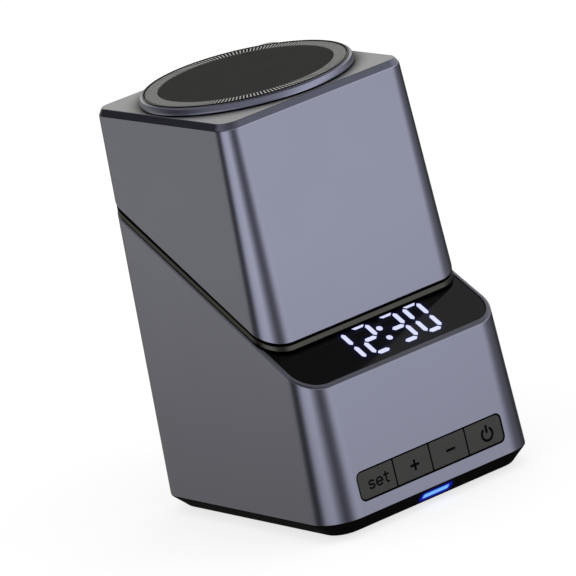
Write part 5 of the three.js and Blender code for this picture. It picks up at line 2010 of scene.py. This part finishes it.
    def add_lamp(self, stage):
        """One large soft box above the front."""
        light = bpy.data.lights.new("soft_box", "AREA")
        light.energy = stage.key_power
        light.shape = "DISK"
        light.size = self.LAMP_SIZE
        lamp = bpy.data.objects.new("soft_box", light)
        place = np.array(self.LAMP_PLACE)
        back = unit(place)
        right = unit(np.cross(UP, back))
        lamp.matrix_world = self.aimed(right, np.cross(back, right), back, place)
        lamp.visible_glossy = False
        bpy.context.scene.collection.objects.link(lamp)

    def round_stops(self, levels):
        """Ramp stops, once round from behind, from azimuth, level and warmth."""
        return [
            (np.radians(turn) / (2 * np.pi) + self.RAMP_FRONT, tuple(level * (1 + warmth * self.WARM_TINT)))
            for turn, level, warmth in levels
        ]

    def add_world(self, scene, stage):
        """Even light for dull surfaces, white for the camera, and pale and dark walls for metal."""
        world = bpy.data.worlds.new("studio")
        world.use_nodes = True
        world.cycles.sampling_method = "NONE"
        scene.world = world
        shader = Shader(world.node_tree)
        direction = shader.add("ShaderNodeTexCoord", {}, {}, "Generated")
        x, y, z = shader.parts(direction)
        turn = x.math("ARCTAN2", x, 0 - y) / (2 * np.pi) + self.RAMP_FRONT
        walls, low_sky = (
            shader.add("ShaderNodeValToRGB", {"stops": self.round_stops(levels)}, {"Fac": turn})
            for levels in (self.WALLS, self.LOW_SKY)
        )
        high_stops = [(height, grey(level)) for height, level in self.HIGH_SKY]
        high_sky = shader.add("ShaderNodeValToRGB", {"stops": high_stops}, {"Fac": z})
        around = shader.mix((z - self.LOW_SKY_START) * self.LOW_SKY_PACE, walls, low_sky)
        above = shader.mix(y * self.BACK_SKY_PACE, high_sky, grey(self.BACK_SKY))
        upper = shader.mix((z - self.HIGH_SKY_START) * self.HIGH_SKY_PACE, around, above)
        studio = shader.mix((self.NADIR_START - z) * self.NADIR_PACE, upper, grey(self.NADIR))
        glossy = shader.add("ShaderNodeLightPath", {}, {}, "Is Glossy Ray")
        seen = shader.add("ShaderNodeLightPath", {}, {}, "Is Camera Ray")
        even = shader.mix(seen, grey(stage.fill), WHITE)
        light = shader.add("ShaderNodeBackground", {}, {"Color": shader.mix(glossy, even, studio)})
        shader.add("ShaderNodeOutputWorld", {}, {"Surface": light})


GROUPS = {
    "clock_tower": ClockTower,
    "clock_tray": ClockTray,
    "clock_display": ClockDisplay,
    "clock_keys": ClockKeys,
    "clock_puck": ClockPuck,
    "clock_colours": ClockColours,
    "clock_stage": ClockStage,
}
OPERATORS = (
    CLOCK_OT_base_shell,
    CLOCK_OT_head_shell,
    CLOCK_OT_collar,
    CLOCK_OT_tray,
    CLOCK_OT_light_bar,
    CLOCK_OT_display,
    CLOCK_OT_keys,
    CLOCK_OT_puck,
    CLOCK_OT_socket,
    CLOCK_OT_inside,
    CLOCK_OT_stage,
)


class CLOCK_PT_pieces(bpy.types.Panel):
    """Pieces and sizes of the clock"""

    bl_idname = "CLOCK_PT_pieces"
    bl_label = "Charging stand clock"
    bl_space_type = "VIEW_3D"
    bl_region_type = "UI"
    bl_category = "Clock"

    def draw(self, context):
        for operator in OPERATORS:
            self.layout.operator(operator.bl_idname)
        for name in GROUPS:
            box = self.layout.box()
            group = getattr(context.scene, name)
            for key in group.bl_rna.properties.keys():
                if key not in ("rna_type", "name"):
                    box.prop(group, key)


def register():
    """Adds the sizes to the scene and the operators and their panel to the program."""
    for name, group in GROUPS.items():
        bpy.utils.register_class(group)
        setattr(bpy.types.Scene, name, PointerProperty(type=group))
    for operator in (*OPERATORS, CLOCK_PT_pieces):
        bpy.utils.register_class(operator)


def unregister():
    """Takes them away again, last things first."""
    for operator in (CLOCK_PT_pieces, *reversed(OPERATORS)):
        bpy.utils.unregister_class(operator)
    for name, group in reversed(GROUPS.items()):
        delattr(bpy.types.Scene, name)
        bpy.utils.unregister_class(group)


def main():
    """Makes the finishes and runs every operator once."""
    register()
    finishes.update(make_finishes(bpy.context.scene.clock_colours))
    for operator in OPERATORS:
        family, name = operator.bl_idname.split(".")
        getattr(getattr(bpy.ops, family), name)()


if __name__ == "__main__":
    main()
